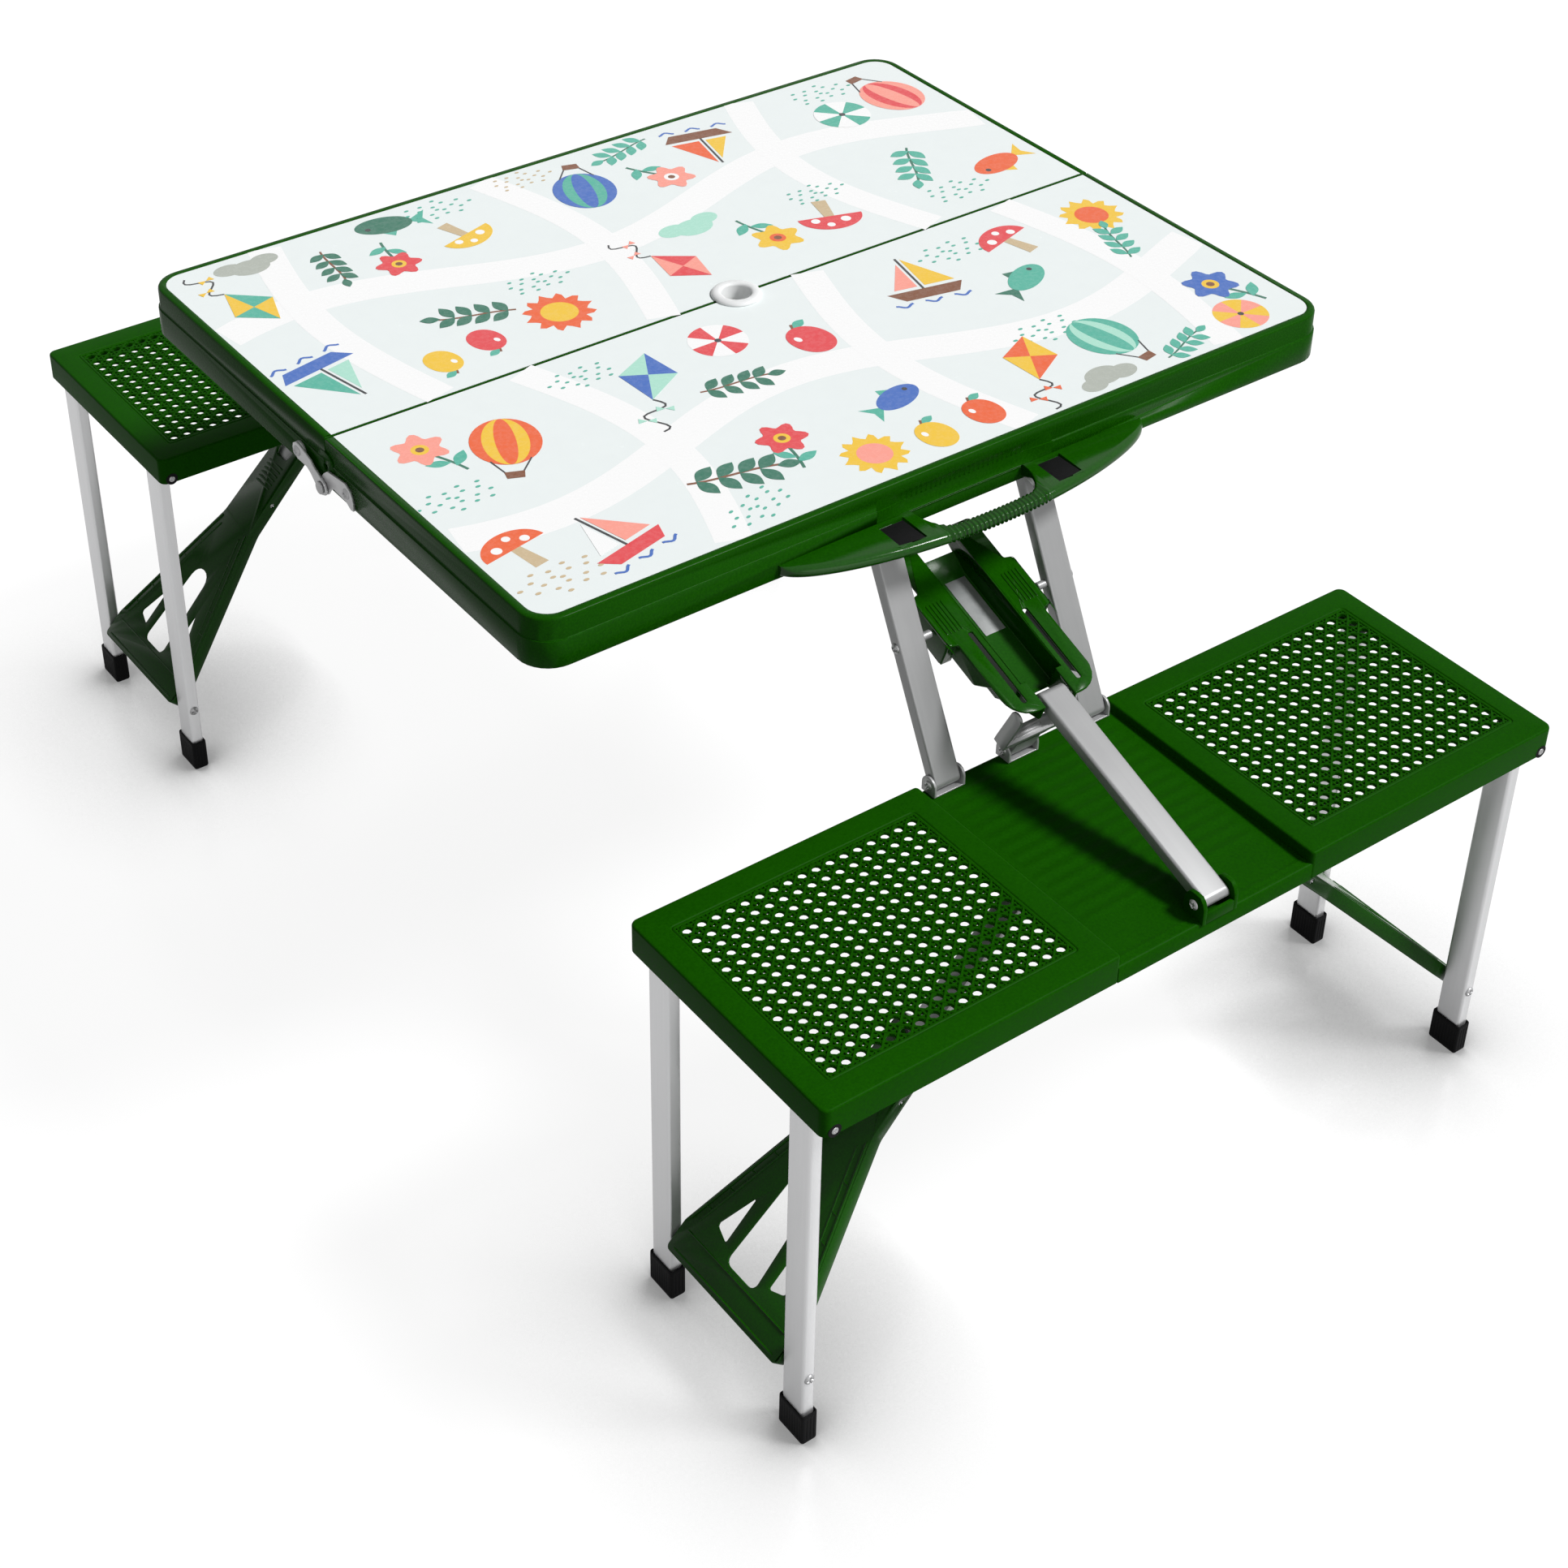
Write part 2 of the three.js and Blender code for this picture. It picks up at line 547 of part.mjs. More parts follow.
function legAxle() {
  const half = LEG_SPACING / 2 + TUBE_WIDTH / 2 + SLIDE_GAP + LUG_THICKNESS + FIT;
  const shaft = alongX(disc(0, 0, AXLE_RADIUS), -half - FIT, half + FIT, 4);
  const head = alongX(disc(0, 0, 1.6 * AXLE_RADIUS), half, half + AXLE_RADIUS / 2, 4);
  return join(shaft, bothSides(head));
}

// Bench moulding: rim, two seats with a web of holes, lower centre deck, bracket for the diagonal.
function deckHeight(y) {
  const share = (-y - BENCH_INNER_EDGE) / BENCH_WIDTH;
  return DECK_INNER + (DECK_OUTER - DECK_INNER) * share;
}

function benchShell() {
  const x = BENCH_LENGTH / 2 - BENCH_EDGE_ROUND;
  const inner = -BENCH_INNER_EDGE - BENCH_EDGE_ROUND;
  const outer = BENCH_EDGE_ROUND - BENCH_OUTER_EDGE;
  const shape = rectangle(-x, x, outer, inner, BENCH_CORNER - BENCH_EDGE_ROUND);
  const geometry = new THREE.ExtrudeGeometry(shape, {
    depth: BENCH_RIM,
    bevelThickness: BENCH_EDGE_ROUND,
    bevelSize: BENCH_EDGE_ROUND,
    bevelSegments: 3,
    curveSegments: 3,
  });
  const solidBench = solid(geometry.translate(0, 0, BENCH_BOTTOM - BENCH_EDGE_ROUND));
  const far = BENCH_LENGTH;
  const below = block(-far, far, -2 * BENCH_OUTER_EDGE, 0, 0, BENCH_BOTTOM);
  const low = deckHeight(-BENCH_OUTER_EDGE) - BENCH_WALL;
  const wallX = BENCH_LENGTH / 2 - BENCH_WALL;
  const wallInner = -BENCH_INNER_EDGE - BENCH_WALL;
  const wallOuter = BENCH_WALL - BENCH_OUTER_EDGE;
  const room = rectangle(-wallX, wallX, wallOuter, wallInner, BENCH_CORNER - BENCH_WALL);
  const hollow = alongZ(room, 0, low);
  const roomCorner = BENCH_CORNER - BENCH_WALL;
  const seatRoom = rectangle(DECK_HALF_LENGTH + DECK_STEP_WALL, wallX, wallOuter, wallInner, roomCorner);
  const seatHollow = alongZ(seatRoom, 0, SEAT_HEIGHT - BENCH_WALL);
  const deckTop = outline([
    [-BENCH_OUTER_EDGE - BENCH_WIDTH, deckHeight(-BENCH_OUTER_EDGE - BENCH_WIDTH)],
    [0, deckHeight(0)],
    [0, 2 * SEAT_HEIGHT],
    [-BENCH_OUTER_EDGE - BENCH_WIDTH, 2 * SEAT_HEIGHT],
  ]);
  const deckCut = alongX(deckTop, -DECK_HALF_LENGTH, DECK_HALF_LENGTH);
  return cut(solidBench, below, hollow, bothSides(seatHollow), deckCut);
}

function webHoles() {
  const x0 = DECK_HALF_LENGTH + WEB_MARGIN_X;
  const x1 = BENCH_LENGTH / 2 - WEB_MARGIN_X;
  const y0 = WEB_MARGIN_Y - BENCH_OUTER_EDGE;
  const y1 = -WEB_MARGIN_Y - BENCH_INNER_EDGE;
  const holes = [];
  for (let column = 0; column < WEB_COLUMNS; column += 1) {
    for (let row = 0; row < WEB_ROWS; row += 1) {
      const x = THREE.MathUtils.lerp(x0, x1, column / (WEB_COLUMNS - 1));
      const y = THREE.MathUtils.lerp(y0, y1, row / (WEB_ROWS - 1));
      holes.push(rectangle(x - WEB_HOLE_HALF, x + WEB_HOLE_HALF, y - WEB_HOLE_HALF, y + WEB_HOLE_HALF));
    }
  }
  return bothSides(alongZ(holes, SEAT_HEIGHT - 2 * BENCH_WALL, SEAT_HEIGHT + BENCH_WALL));
}

function bench() {
  const earInner = BRACKET_HALF_WIDTH - BRACKET_EAR;
  const wallFace = -BENCH_OUTER_EDGE - UPPER_STEP;
  const back = wallFace + BRACKET_DEPTH;
  const root = deckHeight(-BENCH_OUTER_EDGE) - BENCH_WALL / 2;
  const peak = DIAGONAL_FOOT.y + BRACKET_TOP;
  const earShape = outline([
    [wallFace, root],
    [back, root],
    [back, DIAGONAL_FOOT.y, 3],
    [back - BRACKET_DEPTH / 4, peak, 4],
    [wallFace + BRACKET_DEPTH / 4, peak, 4],
    [wallFace, DIAGONAL_FOOT.y, 3],
  ]);
  const pinHole = new THREE.Path();
  pinHole.absarc(DIAGONAL_FOOT.x, DIAGONAL_FOOT.y, bore(DIAGONAL_PIN_RADIUS), 0, Math.PI * 2, true);
  earShape.holes.push(pinHole);
  const ears = bothSides(alongX(earShape, earInner, BRACKET_HALF_WIDTH, 4));
  const guardTop = SEAT_HEIGHT - DIAGONAL_RISE;
  const guard = block(-earInner - FIT, earInner + FIT, wallFace, wallFace + BENCH_WALL, root, guardTop);
  const ribs = Array.from({ length: DECK_RIBS }, (_, i) => {
    const y = -BENCH_INNER_EDGE - (BENCH_WIDTH * (i + 1.5)) / (DECK_RIBS + 2);
    const rise = deckHeight(y) + DECK_RIB_HEIGHT;
    const end = DECK_HALF_LENGTH - 2 * BENCH_EDGE_ROUND;
    return block(-end, end, y - BENCH_WALL, y + BENCH_WALL, rise - BENCH_WALL, rise);
  });
  const lugHalf = ANCHOR_LUG_HALF;
  const lugX = LINK_ANCHOR_FROM_CENTRE;
  const lugShape = rectangle(
    -lugX - lugHalf,
    lugHalf - lugX,
    END_LEG_PIVOT - 2 * LINK_PIN_RADIUS - FIT,
    deckHeight(-BENCH_OUTER_EDGE) - FIT,
  );
  const anchorHole = new THREE.Path();
  anchorHole.absarc(-lugX, END_LEG_PIVOT, bore(LINK_PIN_RADIUS), 0, Math.PI * 2, true);
  lugShape.holes.push(anchorHole);
  const lugInner = LINK_WIDTH / 2 + SLIDE_GAP;
  const lugs = [
    alongY(lugShape, lugInner - BENCH_MIDDLE, lugInner + ANCHOR_LUG - BENCH_MIDDLE, 4),
    alongY(lugShape, -lugInner - ANCHOR_LUG - BENCH_MIDDLE, -lugInner - BENCH_MIDDLE, 4),
  ];
  const boltHole = disc(END_LEG_X, END_LEG_PIVOT, bore(PIVOT_HEAD_RADIUS));
  const holeStart = -BENCH_OUTER_EDGE - BENCH_WALL;
  const boltHoles = bothSides(alongY(boltHole, holeStart, BENCH_WALL - BENCH_INNER_EDGE, 4));
  const whole = join(benchShell(), ears, guard, ...ribs, bothSides(join(...lugs)));
  return cut(whole, webHoles(), boltHoles);
}

// Bent sheet clevis with its cross pin riveted in both ears.
function clevis(pivot) {
  const outerHalf = CLEVIS_HALF_WIDTH;
  const innerHalf = outerHalf - CLEVIS_SHEET;
  const base = deckHeight(pivot.x + CLEVIS_RADIUS) + DECK_RIB_HEIGHT / 2;
  const sheet = (LEG_FOOT.y - TUBE_THICKNESS / 2 - FIT - base) * 0.9;
  const earShape = outline([
    [pivot.x - CLEVIS_RADIUS, base],
    [pivot.x + CLEVIS_RADIUS, base],
    [pivot.x + CLEVIS_RADIUS, pivot.y + CLEVIS_RADIUS, CLEVIS_RADIUS - FIT],
    [pivot.x - CLEVIS_RADIUS, pivot.y + CLEVIS_RADIUS, CLEVIS_RADIUS - FIT],
  ]);
  const ears = bothSides(alongX(earShape, innerHalf, outerHalf));
  const y0 = pivot.x - CLEVIS_RADIUS;
  const plate = block(-outerHalf, outerHalf, y0, y0 + 2 * CLEVIS_RADIUS, base, base + sheet);
  const pin = alongX(disc(pivot.x, pivot.y, AXLE_RADIUS), -innerHalf - FIT, innerHalf + FIT, 4);
  return join(ears, plate, pin);
}

// Diagonal tube from the bench bracket to the knee, with its two cross pins riveted in.
function diagonal() {
  const length = KNEE.distanceTo(DIAGONAL_FOOT);
  const kneeReach = channelHalf() + BRACE_SHEET + SLIDE_GAP;
  const footReach = BRACKET_HALF_WIDTH + SLIDE_GAP;
  return join(
    tubeAlongY(length, KNEE_END),
    alongX(disc(length, 0, DIAGONAL_PIN_RADIUS), -kneeReach, kneeReach, 4),
    alongX(disc(0, 0, DIAGONAL_PIN_RADIUS), -footReach, footReach, 4),
  );
}

// Prop: stirrup with a foot in its clevis, a saddle and two arms that stand inside the brace.
function prop() {
  const length = KNEE.distanceTo(LEG_FOOT) - PROP_SHORT_OF_KNEE;
  const half = PROP_FOOT_WIDTH / 2;
  const footEnd = new THREE.Vector2(PROP_SADDLE_HEIGHT, 0);
  const foot = alongX(capsule(new THREE.Vector2(0, 0), footEnd, TUBE_THICKNESS / 2), -half, half, 4);
  const armShape = outline([
    [PROP_SADDLE_HEIGHT, -PROP_ARM_WIDTH / 2],
    [length, -PROP_ARM_WIDTH / 2, PROP_ARM_WIDTH / 2 - FIT],
    [length, PROP_ARM_WIDTH / 2, PROP_ARM_WIDTH / 2 - FIT],
    [PROP_SADDLE_HEIGHT, PROP_ARM_WIDTH / 2],
  ]);
  const arms = bothSides(alongX(armShape, PROP_ARM_OUT - PROP_ARM_THICKNESS, PROP_ARM_OUT));
  const top = PROP_SADDLE_HEIGHT + PROP_SADDLE_THICKNESS;
  const saddleShape = rectangle(-PROP_ARM_OUT, PROP_ARM_OUT, -PROP_ARM_WIDTH / 2, PROP_ARM_WIDTH / 2);
  const saddle = alongY(saddleShape, PROP_SADDLE_HEIGHT, top);
  const pinHole = alongX(disc(0, 0, bore(AXLE_RADIUS)), -TUBE_WIDTH, TUBE_WIDTH, 4);
  return cut(join(foot, saddle, arms), pinHole);
}

// Brace, drawn along Y from the knee, top along Z: open channel, slotted flanges, finger wings.
function channelHalf() {
  return TUBE_WIDTH / 2 + SWING_GAP;
}

function brace() {
  const inner = channelHalf();
  const wingEnd = WING_START + WING_LENGTH;
  const flangeShape = outline([
    [inner, -BRACE_PAST_KNEE],
    [BRACE_HALF_WIDTH, -BRACE_PAST_KNEE, BRACE_TIP_RADIUS],
    [BRACE_HALF_WIDTH, WING_START, WING_LEAN],
    [WING_HALF_WIDTH, WING_START + WING_LEAN, 2 * WING_LEAN],
    [WING_HALF_WIDTH, wingEnd, 3 * WING_LEAN],
    [BRACE_HALF_WIDTH, wingEnd + WING_LEAN, WING_LEAN],
    [BRACE_HALF_WIDTH, BRACE_LENGTH, 6],
    [CHANNEL_HALF_WIDTH, BRACE_LENGTH],
    [CHANNEL_HALF_WIDTH, CHANNEL_START],
    [inner, CHANNEL_START],
  ]);
  const slotMiddle = PROP_ARM_OUT - PROP_ARM_THICKNESS / 2;
  const slot = rectangle(
    slotMiddle - SLOT_WIDTH / 2,
    slotMiddle + SLOT_WIDTH / 2,
    SLOT_START,
    SLOT_END,
    SLOT_WIDTH / 2 - FIT,
  );
  flangeShape.holes.push(slot);
  const flange = alongZ(flangeShape, BRACE_TOP - BRACE_SHEET, BRACE_TOP);
  const bottom = BRACE_TOP - BRACE_DEPTH;
  const tip = BRACE_TOP - BRACE_TIP_DEPTH;
  const stepEnd = CHANNEL_START + BRACE_SHEET;
  const cheekShape = outline([
    [-BRACE_PAST_KNEE, bottom + BRACE_DEPTH / 3],
    [CHANNEL_START - BRACE_PAST_KNEE, bottom],
    [stepEnd, bottom],
    [stepEnd, BRACE_TOP],
    [-BRACE_PAST_KNEE, BRACE_TOP],
  ]);
  const pinHole = new THREE.Path().absarc(0, 0, bore(DIAGONAL_PIN_RADIUS), 0, Math.PI * 2, true);
  cheekShape.holes.push(pinHole);
  const cheek = alongX(cheekShape, inner, inner + BRACE_SHEET, 4);
  const step = block(inner, CHANNEL_HALF_WIDTH + BRACE_SHEET, CHANNEL_START, stepEnd, bottom, BRACE_TOP);
  const wallShape = outline([
    [CHANNEL_START, bottom],
    [BRACE_TAPER_START, bottom],
    [BRACE_LENGTH, tip],
    [BRACE_LENGTH, BRACE_TOP],
    [CHANNEL_START, BRACE_TOP],
  ]);
  const wall = alongX(wallShape, CHANNEL_HALF_WIDTH, CHANNEL_HALF_WIDTH + BRACE_SHEET);
  const slope = (tip - bottom) / (BRACE_LENGTH - BRACE_TAPER_START);
  const floorEnd = bottom + slope * (BRACE_FLOOR_END - BRACE_TAPER_START);
  const floorShape = outline([
    [CHANNEL_START, bottom],
    [BRACE_TAPER_START, bottom],
    [BRACE_FLOOR_END, floorEnd],
    [BRACE_FLOOR_END, floorEnd + BRACE_SHEET],
    [BRACE_TAPER_START, bottom + BRACE_SHEET],
    [CHANNEL_START, bottom + BRACE_SHEET],
  ]);
  const floor = alongX(floorShape, -CHANNEL_HALF_WIDTH - FIT, CHANNEL_HALF_WIDTH + FIT);
  const skirtShape = outline([
    [BRACE_SKIRT_START, BRACE_TOP],
    [BRACE_SKIRT_START + BRACE_SKIRT, BRACE_TOP - BRACE_SKIRT, 6],
    [WING_START + BRACE_SHEET, BRACE_TOP - BRACE_SKIRT],
    [WING_START + BRACE_SHEET, BRACE_TOP],
  ]);
  const skirt = alongX(skirtShape, BRACE_HALF_WIDTH - BRACE_SHEET, BRACE_HALF_WIDTH);
  const wingTop = BRACE_TOP - BRACE_SHEET / 2;
  const wingBottom = BRACE_TOP - WING_SKIRT;
  const wingInner = BRACE_HALF_WIDTH - BRACE_SHEET;
  const wingNear = WING_START + WING_LEAN;
  const wingFar = wingEnd - WING_LEAN;
  const wingSheet = BRACE_SHEET + WING_LEAN / 4;
  const wingSide = block(
    WING_HALF_WIDTH - BRACE_SHEET,
    WING_HALF_WIDTH,
    wingNear + BRACE_SHEET,
    wingFar,
    wingBottom,
    wingTop,
  );
  const wingFront = block(wingInner, WING_HALF_WIDTH, wingNear, wingNear + wingSheet, wingBottom, wingTop);
  const wingBack = block(wingInner, WING_HALF_WIDTH, wingFar - wingSheet, wingFar, wingBottom, wingTop);
  const half = join(flange, cheek, step, wall, skirt, wingSide, wingFront, wingBack);
  return join(bothSides(half), floor);
}

// End leg, drawn downwards from its pivot bolt, which passes through the long wall of the bench.
function endLeg(side) {
  const half = TUBE_THICKNESS / 2;
  const halfWidth = TUBE_WIDTH / 2;
  const bottom = END_LEG_LIFT - END_LEG_PIVOT;
  const section = rectangle(-half, half, -halfWidth, halfWidth, TUBE_EDGE);
  const inHalf = half - TUBE_WALL;
  const inHalfWidth = halfWidth - TUBE_WALL;
  section.holes.push(rectangle(-inHalf, inHalf, -inHalfWidth, inHalfWidth));
  const stock = alongZ(section, bottom, half, 1);
  const top = new THREE.Vector2(0, 0);
  const foot = new THREE.Vector2(0, bottom - half);
  const tube = stock.intersect(alongY(capsule(foot, top, half), -TUBE_WIDTH, TUBE_WIDTH, 4));
  const wallFace = BENCH_WIDTH / 2 - END_LEG_SPACING / 2;
  const head = wallFace - PIVOT_HEAD_RECESS - PIVOT_HEAD_THICKNESS;
  const bolt = alongY(disc(0, 0, PIVOT_BOLT_RADIUS), halfWidth - TUBE_WALL, head + FIT, 4);
  const boltHead = alongY(disc(0, 0, PIVOT_HEAD_RADIUS), head, head + PIVOT_HEAD_THICKNESS, 5);
  const whole = join(tube, bolt, boltHead);
  return side > 0 ? whole : whole.mirror([0, 1, 0]);
}

function footCap() {
  const x = TUBE_THICKNESS / 2 + FIT;
  const y = TUBE_WIDTH / 2 + FIT;
  const wideX = x + FOOT_CAP_WALL;
  const wideY = y + 2 * FOOT_CAP_WALL;
  const floor = END_LEG_LIFT - FIT;
  const body = alongZ(rectangle(-wideX, wideX, -wideY, wideY, TUBE_EDGE), 0, FOOT_CAP_HEIGHT, 1);
  const socket = alongZ(rectangle(-x, x, -y, y), floor, FOOT_CAP_HEIGHT + floor);
  return cut(body, socket);
}

// Wishbone strut, drawn along X from the knee pin towards the bench, floor on top.
function wishboneOutline(inset) {
  const bar = END_LEG_SPACING / 2 - TUBE_WIDTH / 2 - SWING_GAP - inset;
  const neck = WISHBONE_NECK_HALF - inset;
  const foot = -WISHBONE_KNEE.distanceTo(WISHBONE_FOOT);
  const low = foot - WISHBONE_BAR_BELOW + inset;
  const high = foot + WISHBONE_BAR - WISHBONE_BAR_BELOW;
  const end = WISHBONE_NECK_LENGTH - inset;
  const shoulder = foot * WISHBONE_SHOULDER_SHARE;
  const shoulderHalf = neck + WISHBONE_SHOULDER_OUT;
  return outline([
    [low, -bar, 5],
    [low, bar, 5],
    [high, bar, 8],
    [shoulder, shoulderHalf, 30],
    [end, neck, 4],
    [end, -neck, 4],
    [shoulder, -shoulderHalf, 30],
    [high, -bar, 8],
  ].reverse());
}

function wishbone() {
  const foot = -WISHBONE_KNEE.distanceTo(WISHBONE_FOOT);
  const top = WISHBONE_DEPTH / 2;
  const whole = alongZ(wishboneOutline(0), -top, top, 2);
  const hollow = alongZ(wishboneOutline(WISHBONE_WALL), -WISHBONE_DEPTH, top - WISHBONE_FLOOR, 2);
  const high = foot + WISHBONE_BAR - WISHBONE_BAR_BELOW;
  const windowEnd = foot * WISHBONE_WINDOW_SHARE;
  const window = outline([
    [high, -WISHBONE_WINDOW_HALF, 7],
    [windowEnd, -WISHBONE_WINDOW_END, WISHBONE_WINDOW_END - FIT],
    [windowEnd, WISHBONE_WINDOW_END, WISHBONE_WINDOW_END - FIT],
    [high, WISHBONE_WINDOW_HALF, 7],
  ]);
  const ribEdge = WISHBONE_WINDOW_HALF + WISHBONE_RIB;
  const sideWindow = outline([
    [high + WISHBONE_RIB, ribEdge, 2],
    [foot * WISHBONE_SIDE_WINDOW_SHARE, ribEdge, 1],
    [high + WISHBONE_SIDE_WINDOW_LIFT * WISHBONE_RIB, ribEdge + WISHBONE_SIDE_WINDOW, 4],
  ]);
  const windows = alongZ([window, sideWindow], 0, WISHBONE_DEPTH, 2);
  const mirrored = alongZ(sideWindow, 0, WISHBONE_DEPTH, 2).mirror([0, 1, 0]);
  const notchHalf = LINK_WIDTH / 2 + SLIDE_GAP;
  const notchDeep = WISHBONE_NECK_LENGTH - notchHalf;
  const notch = alongZ(
    rectangle(notchDeep, WISHBONE_NECK_LENGTH + notchHalf, -notchHalf, notchHalf, notchHalf / 2),
    -WISHBONE_DEPTH,
    WISHBONE_DEPTH,
    1,
  );
  const pinHole = alongY(disc(0, 0, bore(LINK_PIN_RADIUS)), -END_LEG_SPACING, END_LEG_SPACING, 4);
  return cut(whole, hollow, windows, mirrored, notch, pinHole);
}

// Link from the wishbone's knee pin up to the anchor under the deck, both pins riveted in.
function wishboneLink() {
  const length = WISHBONE_KNEE.distanceTo(LINK_ANCHOR);
  const half = LINK_THICKNESS / 2;
  const profile = capsule(new THREE.Vector2(0, 0), new THREE.Vector2(length, 0), half);
  const bar = alongY(profile, -LINK_WIDTH / 2, LINK_WIDTH / 2, 2);
  const kneeReach = WISHBONE_NECK_HALF - FIT;
  const anchorReach = LINK_WIDTH / 2 + SLIDE_GAP + ANCHOR_LUG;
  return join(
    bar,
    alongY(disc(0, 0, LINK_PIN_RADIUS), -kneeReach, kneeReach, 4),
    alongY(disc(length, 0, LINK_PIN_RADIUS), -anchorReach, anchorReach, 4),
  );
}

// One half of the table with its bench, drawn as the front half. Names carry the place when opened.
function halfTable(place, left, right) {
  const group = new THREE.Group();
  group.name = "half_" + place;
  const sides = [[-1, left], [1, right]];
  group.add(piece("tray_" + place, tray(), GREEN));
  group.add(piece("top_skin_" + place, topSkin(), WHITE));
  group.add(piece("hinge_leaf_inner_" + place, innerLeaf(), ALUMINIUM));
  group.add(piece("hinge_leaf_outer_" + place, outerLeaf(), ALUMINIUM));
  group.add(piece("hinge_pin_" + place, hingePin(), ALUMINIUM));
  sides.forEach(([side, name]) => {
    const pad = piece("handle_pad_" + place + "_" + name, handlePad(), BLACK);
    pad.position.set(side * PAD_OFFSET, padPlace(), 0);
    const leg = piece("table_leg_" + place + "_" + name, tableLeg(side), ALUMINIUM);
    leg.position.x = (side * LEG_SPACING) / 2;
    const legClevis = piece("leg_clevis_" + place + "_" + name, clevis(LEG_FOOT), ALUMINIUM);
    legClevis.position.x = (side * LEG_SPACING) / 2;
    group.add(pad, layInDepth(leg, LEG_FOOT, LEG_TOP), legClevis);
  });
  const axle = piece("leg_axle_" + place, legAxle(), ALUMINIUM);
  axle.position.set(0, LEG_TOP.x, LEG_TOP.y);
  group.add(axle);
  group.add(piece("bench_" + place, bench(), GREEN));
  group.add(piece("prop_clevis_" + place, clevis(LEG_FOOT), ALUMINIUM));
  group.add(layInDepth(piece("diagonal_" + place, diagonal(), ALUMINIUM), DIAGONAL_FOOT, KNEE));
  group.add(layInDepth(piece("brace_" + place, brace(), GREEN), KNEE, RIVET));
  group.add(layInDepth(piece("prop_" + place, prop(), ALUMINIUM), LEG_FOOT, KNEE));
  sides.forEach(([side, name]) => group.add(endUnit(place, side, name)));
  return group;
}

// Leg pair, foot caps, wishbone and link at one end of a bench, drawn at the left end.
function endUnit(place, side, name) {
  const unit = new THREE.Group();
  const tag = place + "_" + name;
  [[1, "a"], [-1, "b"]].forEach(([edge, mark]) => {
    const y = (edge * END_LEG_SPACING) / 2;
    const leg = piece("end_leg_" + tag + "_" + mark, endLeg(edge), ALUMINIUM);
    leg.position.set(-END_LEG_X, y, END_LEG_PIVOT);
    const cap = piece("foot_cap_" + tag + "_" + mark, footCap(), BLACK);
    cap.position.set(-END_LEG_X, y, 0);
    unit.add(leg, cap);
  });
  const strut = piece("wishbone_" + tag, wishbone(), GREEN);
  const link = piece("wishbone_link_" + tag, wishboneLink(), ALUMINIUM);
  unit.add(layInLength(strut, WISHBONE_KNEE, LINK_ANCHOR, 0));
  unit.add(layInLength(link, WISHBONE_KNEE, LINK_ANCHOR, 0));
  unit.position.y = -BENCH_MIDDLE;
  unit.rotation.z = side > 0 ? Math.PI : 0;
  return unit;
}

const table = new THREE.Group();
table.name = "folding_table";
table.add(halfTable("front", "left", "right"));
table.add(piece("parasol_ring", parasolRing(), WHITE));
const backHalf = halfTable("back", "right", "left");
backHalf.rotation.z = Math.PI;
table.add(backHalf);

export default table;
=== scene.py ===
import json
import math

import bmesh
import bpy
import numpy as np
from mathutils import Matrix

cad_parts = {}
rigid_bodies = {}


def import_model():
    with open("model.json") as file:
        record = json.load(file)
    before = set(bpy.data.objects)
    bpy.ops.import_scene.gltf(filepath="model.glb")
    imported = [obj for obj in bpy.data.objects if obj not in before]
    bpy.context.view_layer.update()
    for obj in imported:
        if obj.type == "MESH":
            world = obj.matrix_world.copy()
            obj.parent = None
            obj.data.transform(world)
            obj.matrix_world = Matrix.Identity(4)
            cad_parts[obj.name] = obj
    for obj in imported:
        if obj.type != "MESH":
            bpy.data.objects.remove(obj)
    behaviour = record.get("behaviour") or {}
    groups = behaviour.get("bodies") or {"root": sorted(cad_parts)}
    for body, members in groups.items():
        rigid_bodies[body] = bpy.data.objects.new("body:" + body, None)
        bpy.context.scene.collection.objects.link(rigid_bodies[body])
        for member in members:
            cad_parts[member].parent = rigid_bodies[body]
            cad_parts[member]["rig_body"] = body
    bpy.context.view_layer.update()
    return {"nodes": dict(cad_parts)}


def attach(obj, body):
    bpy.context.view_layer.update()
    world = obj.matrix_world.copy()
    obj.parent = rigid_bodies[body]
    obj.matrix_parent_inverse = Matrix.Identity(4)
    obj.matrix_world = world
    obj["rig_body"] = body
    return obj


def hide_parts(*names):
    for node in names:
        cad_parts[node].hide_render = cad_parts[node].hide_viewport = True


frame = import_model()

# Table trays: the two halves of the top are deep green injection mouldings that shut on each other like a
# suitcase. Each has a stepped rim, a finger scoop, a flat carrying handle and lugs for the leg axle.


class Socket:
    """One output of a shader node. Sums, differences and products of values add Math nodes."""

    def __init__(self, tree, output):
        self.tree = tree
        self.output = output

    def node(self, kind, settings, sockets, output=0):
        """Adds a node of a kind: its settings first, a ramp's stops as pairs, then values or links."""
        made = self.tree.nodes.new(kind)
        for key, value in settings.items():
            if key == "stops":
                for element, (place, colour) in zip(made.color_ramp.elements, value):
                    element.position = place
                    element.color = colour
            else:
                setattr(made, key, value)
        for key, value in sockets.items():
            if isinstance(value, Socket):
                self.tree.links.new(value.output, made.inputs[key])
            else:
                made.inputs[key].default_value = value
        return Socket(self.tree, made.outputs[output])

    def reckon(self, operation, first, second):
        return self.node("ShaderNodeMath", {"operation": operation}, {0: first, 1: second})

    def __add__(self, other):
        return self.reckon("ADD", self, other)

    def __sub__(self, other):
        return self.reckon("SUBTRACT", self, other)

    def __rsub__(self, other):
        return self.reckon("SUBTRACT", other, self)

    def __mul__(self, other):
        return self.reckon("MULTIPLY", self, other)

    __radd__ = __add__
    __rmul__ = __mul__

    def into(self, shader, socket):
        self.tree.links.new(self.output, shader.inputs[socket])


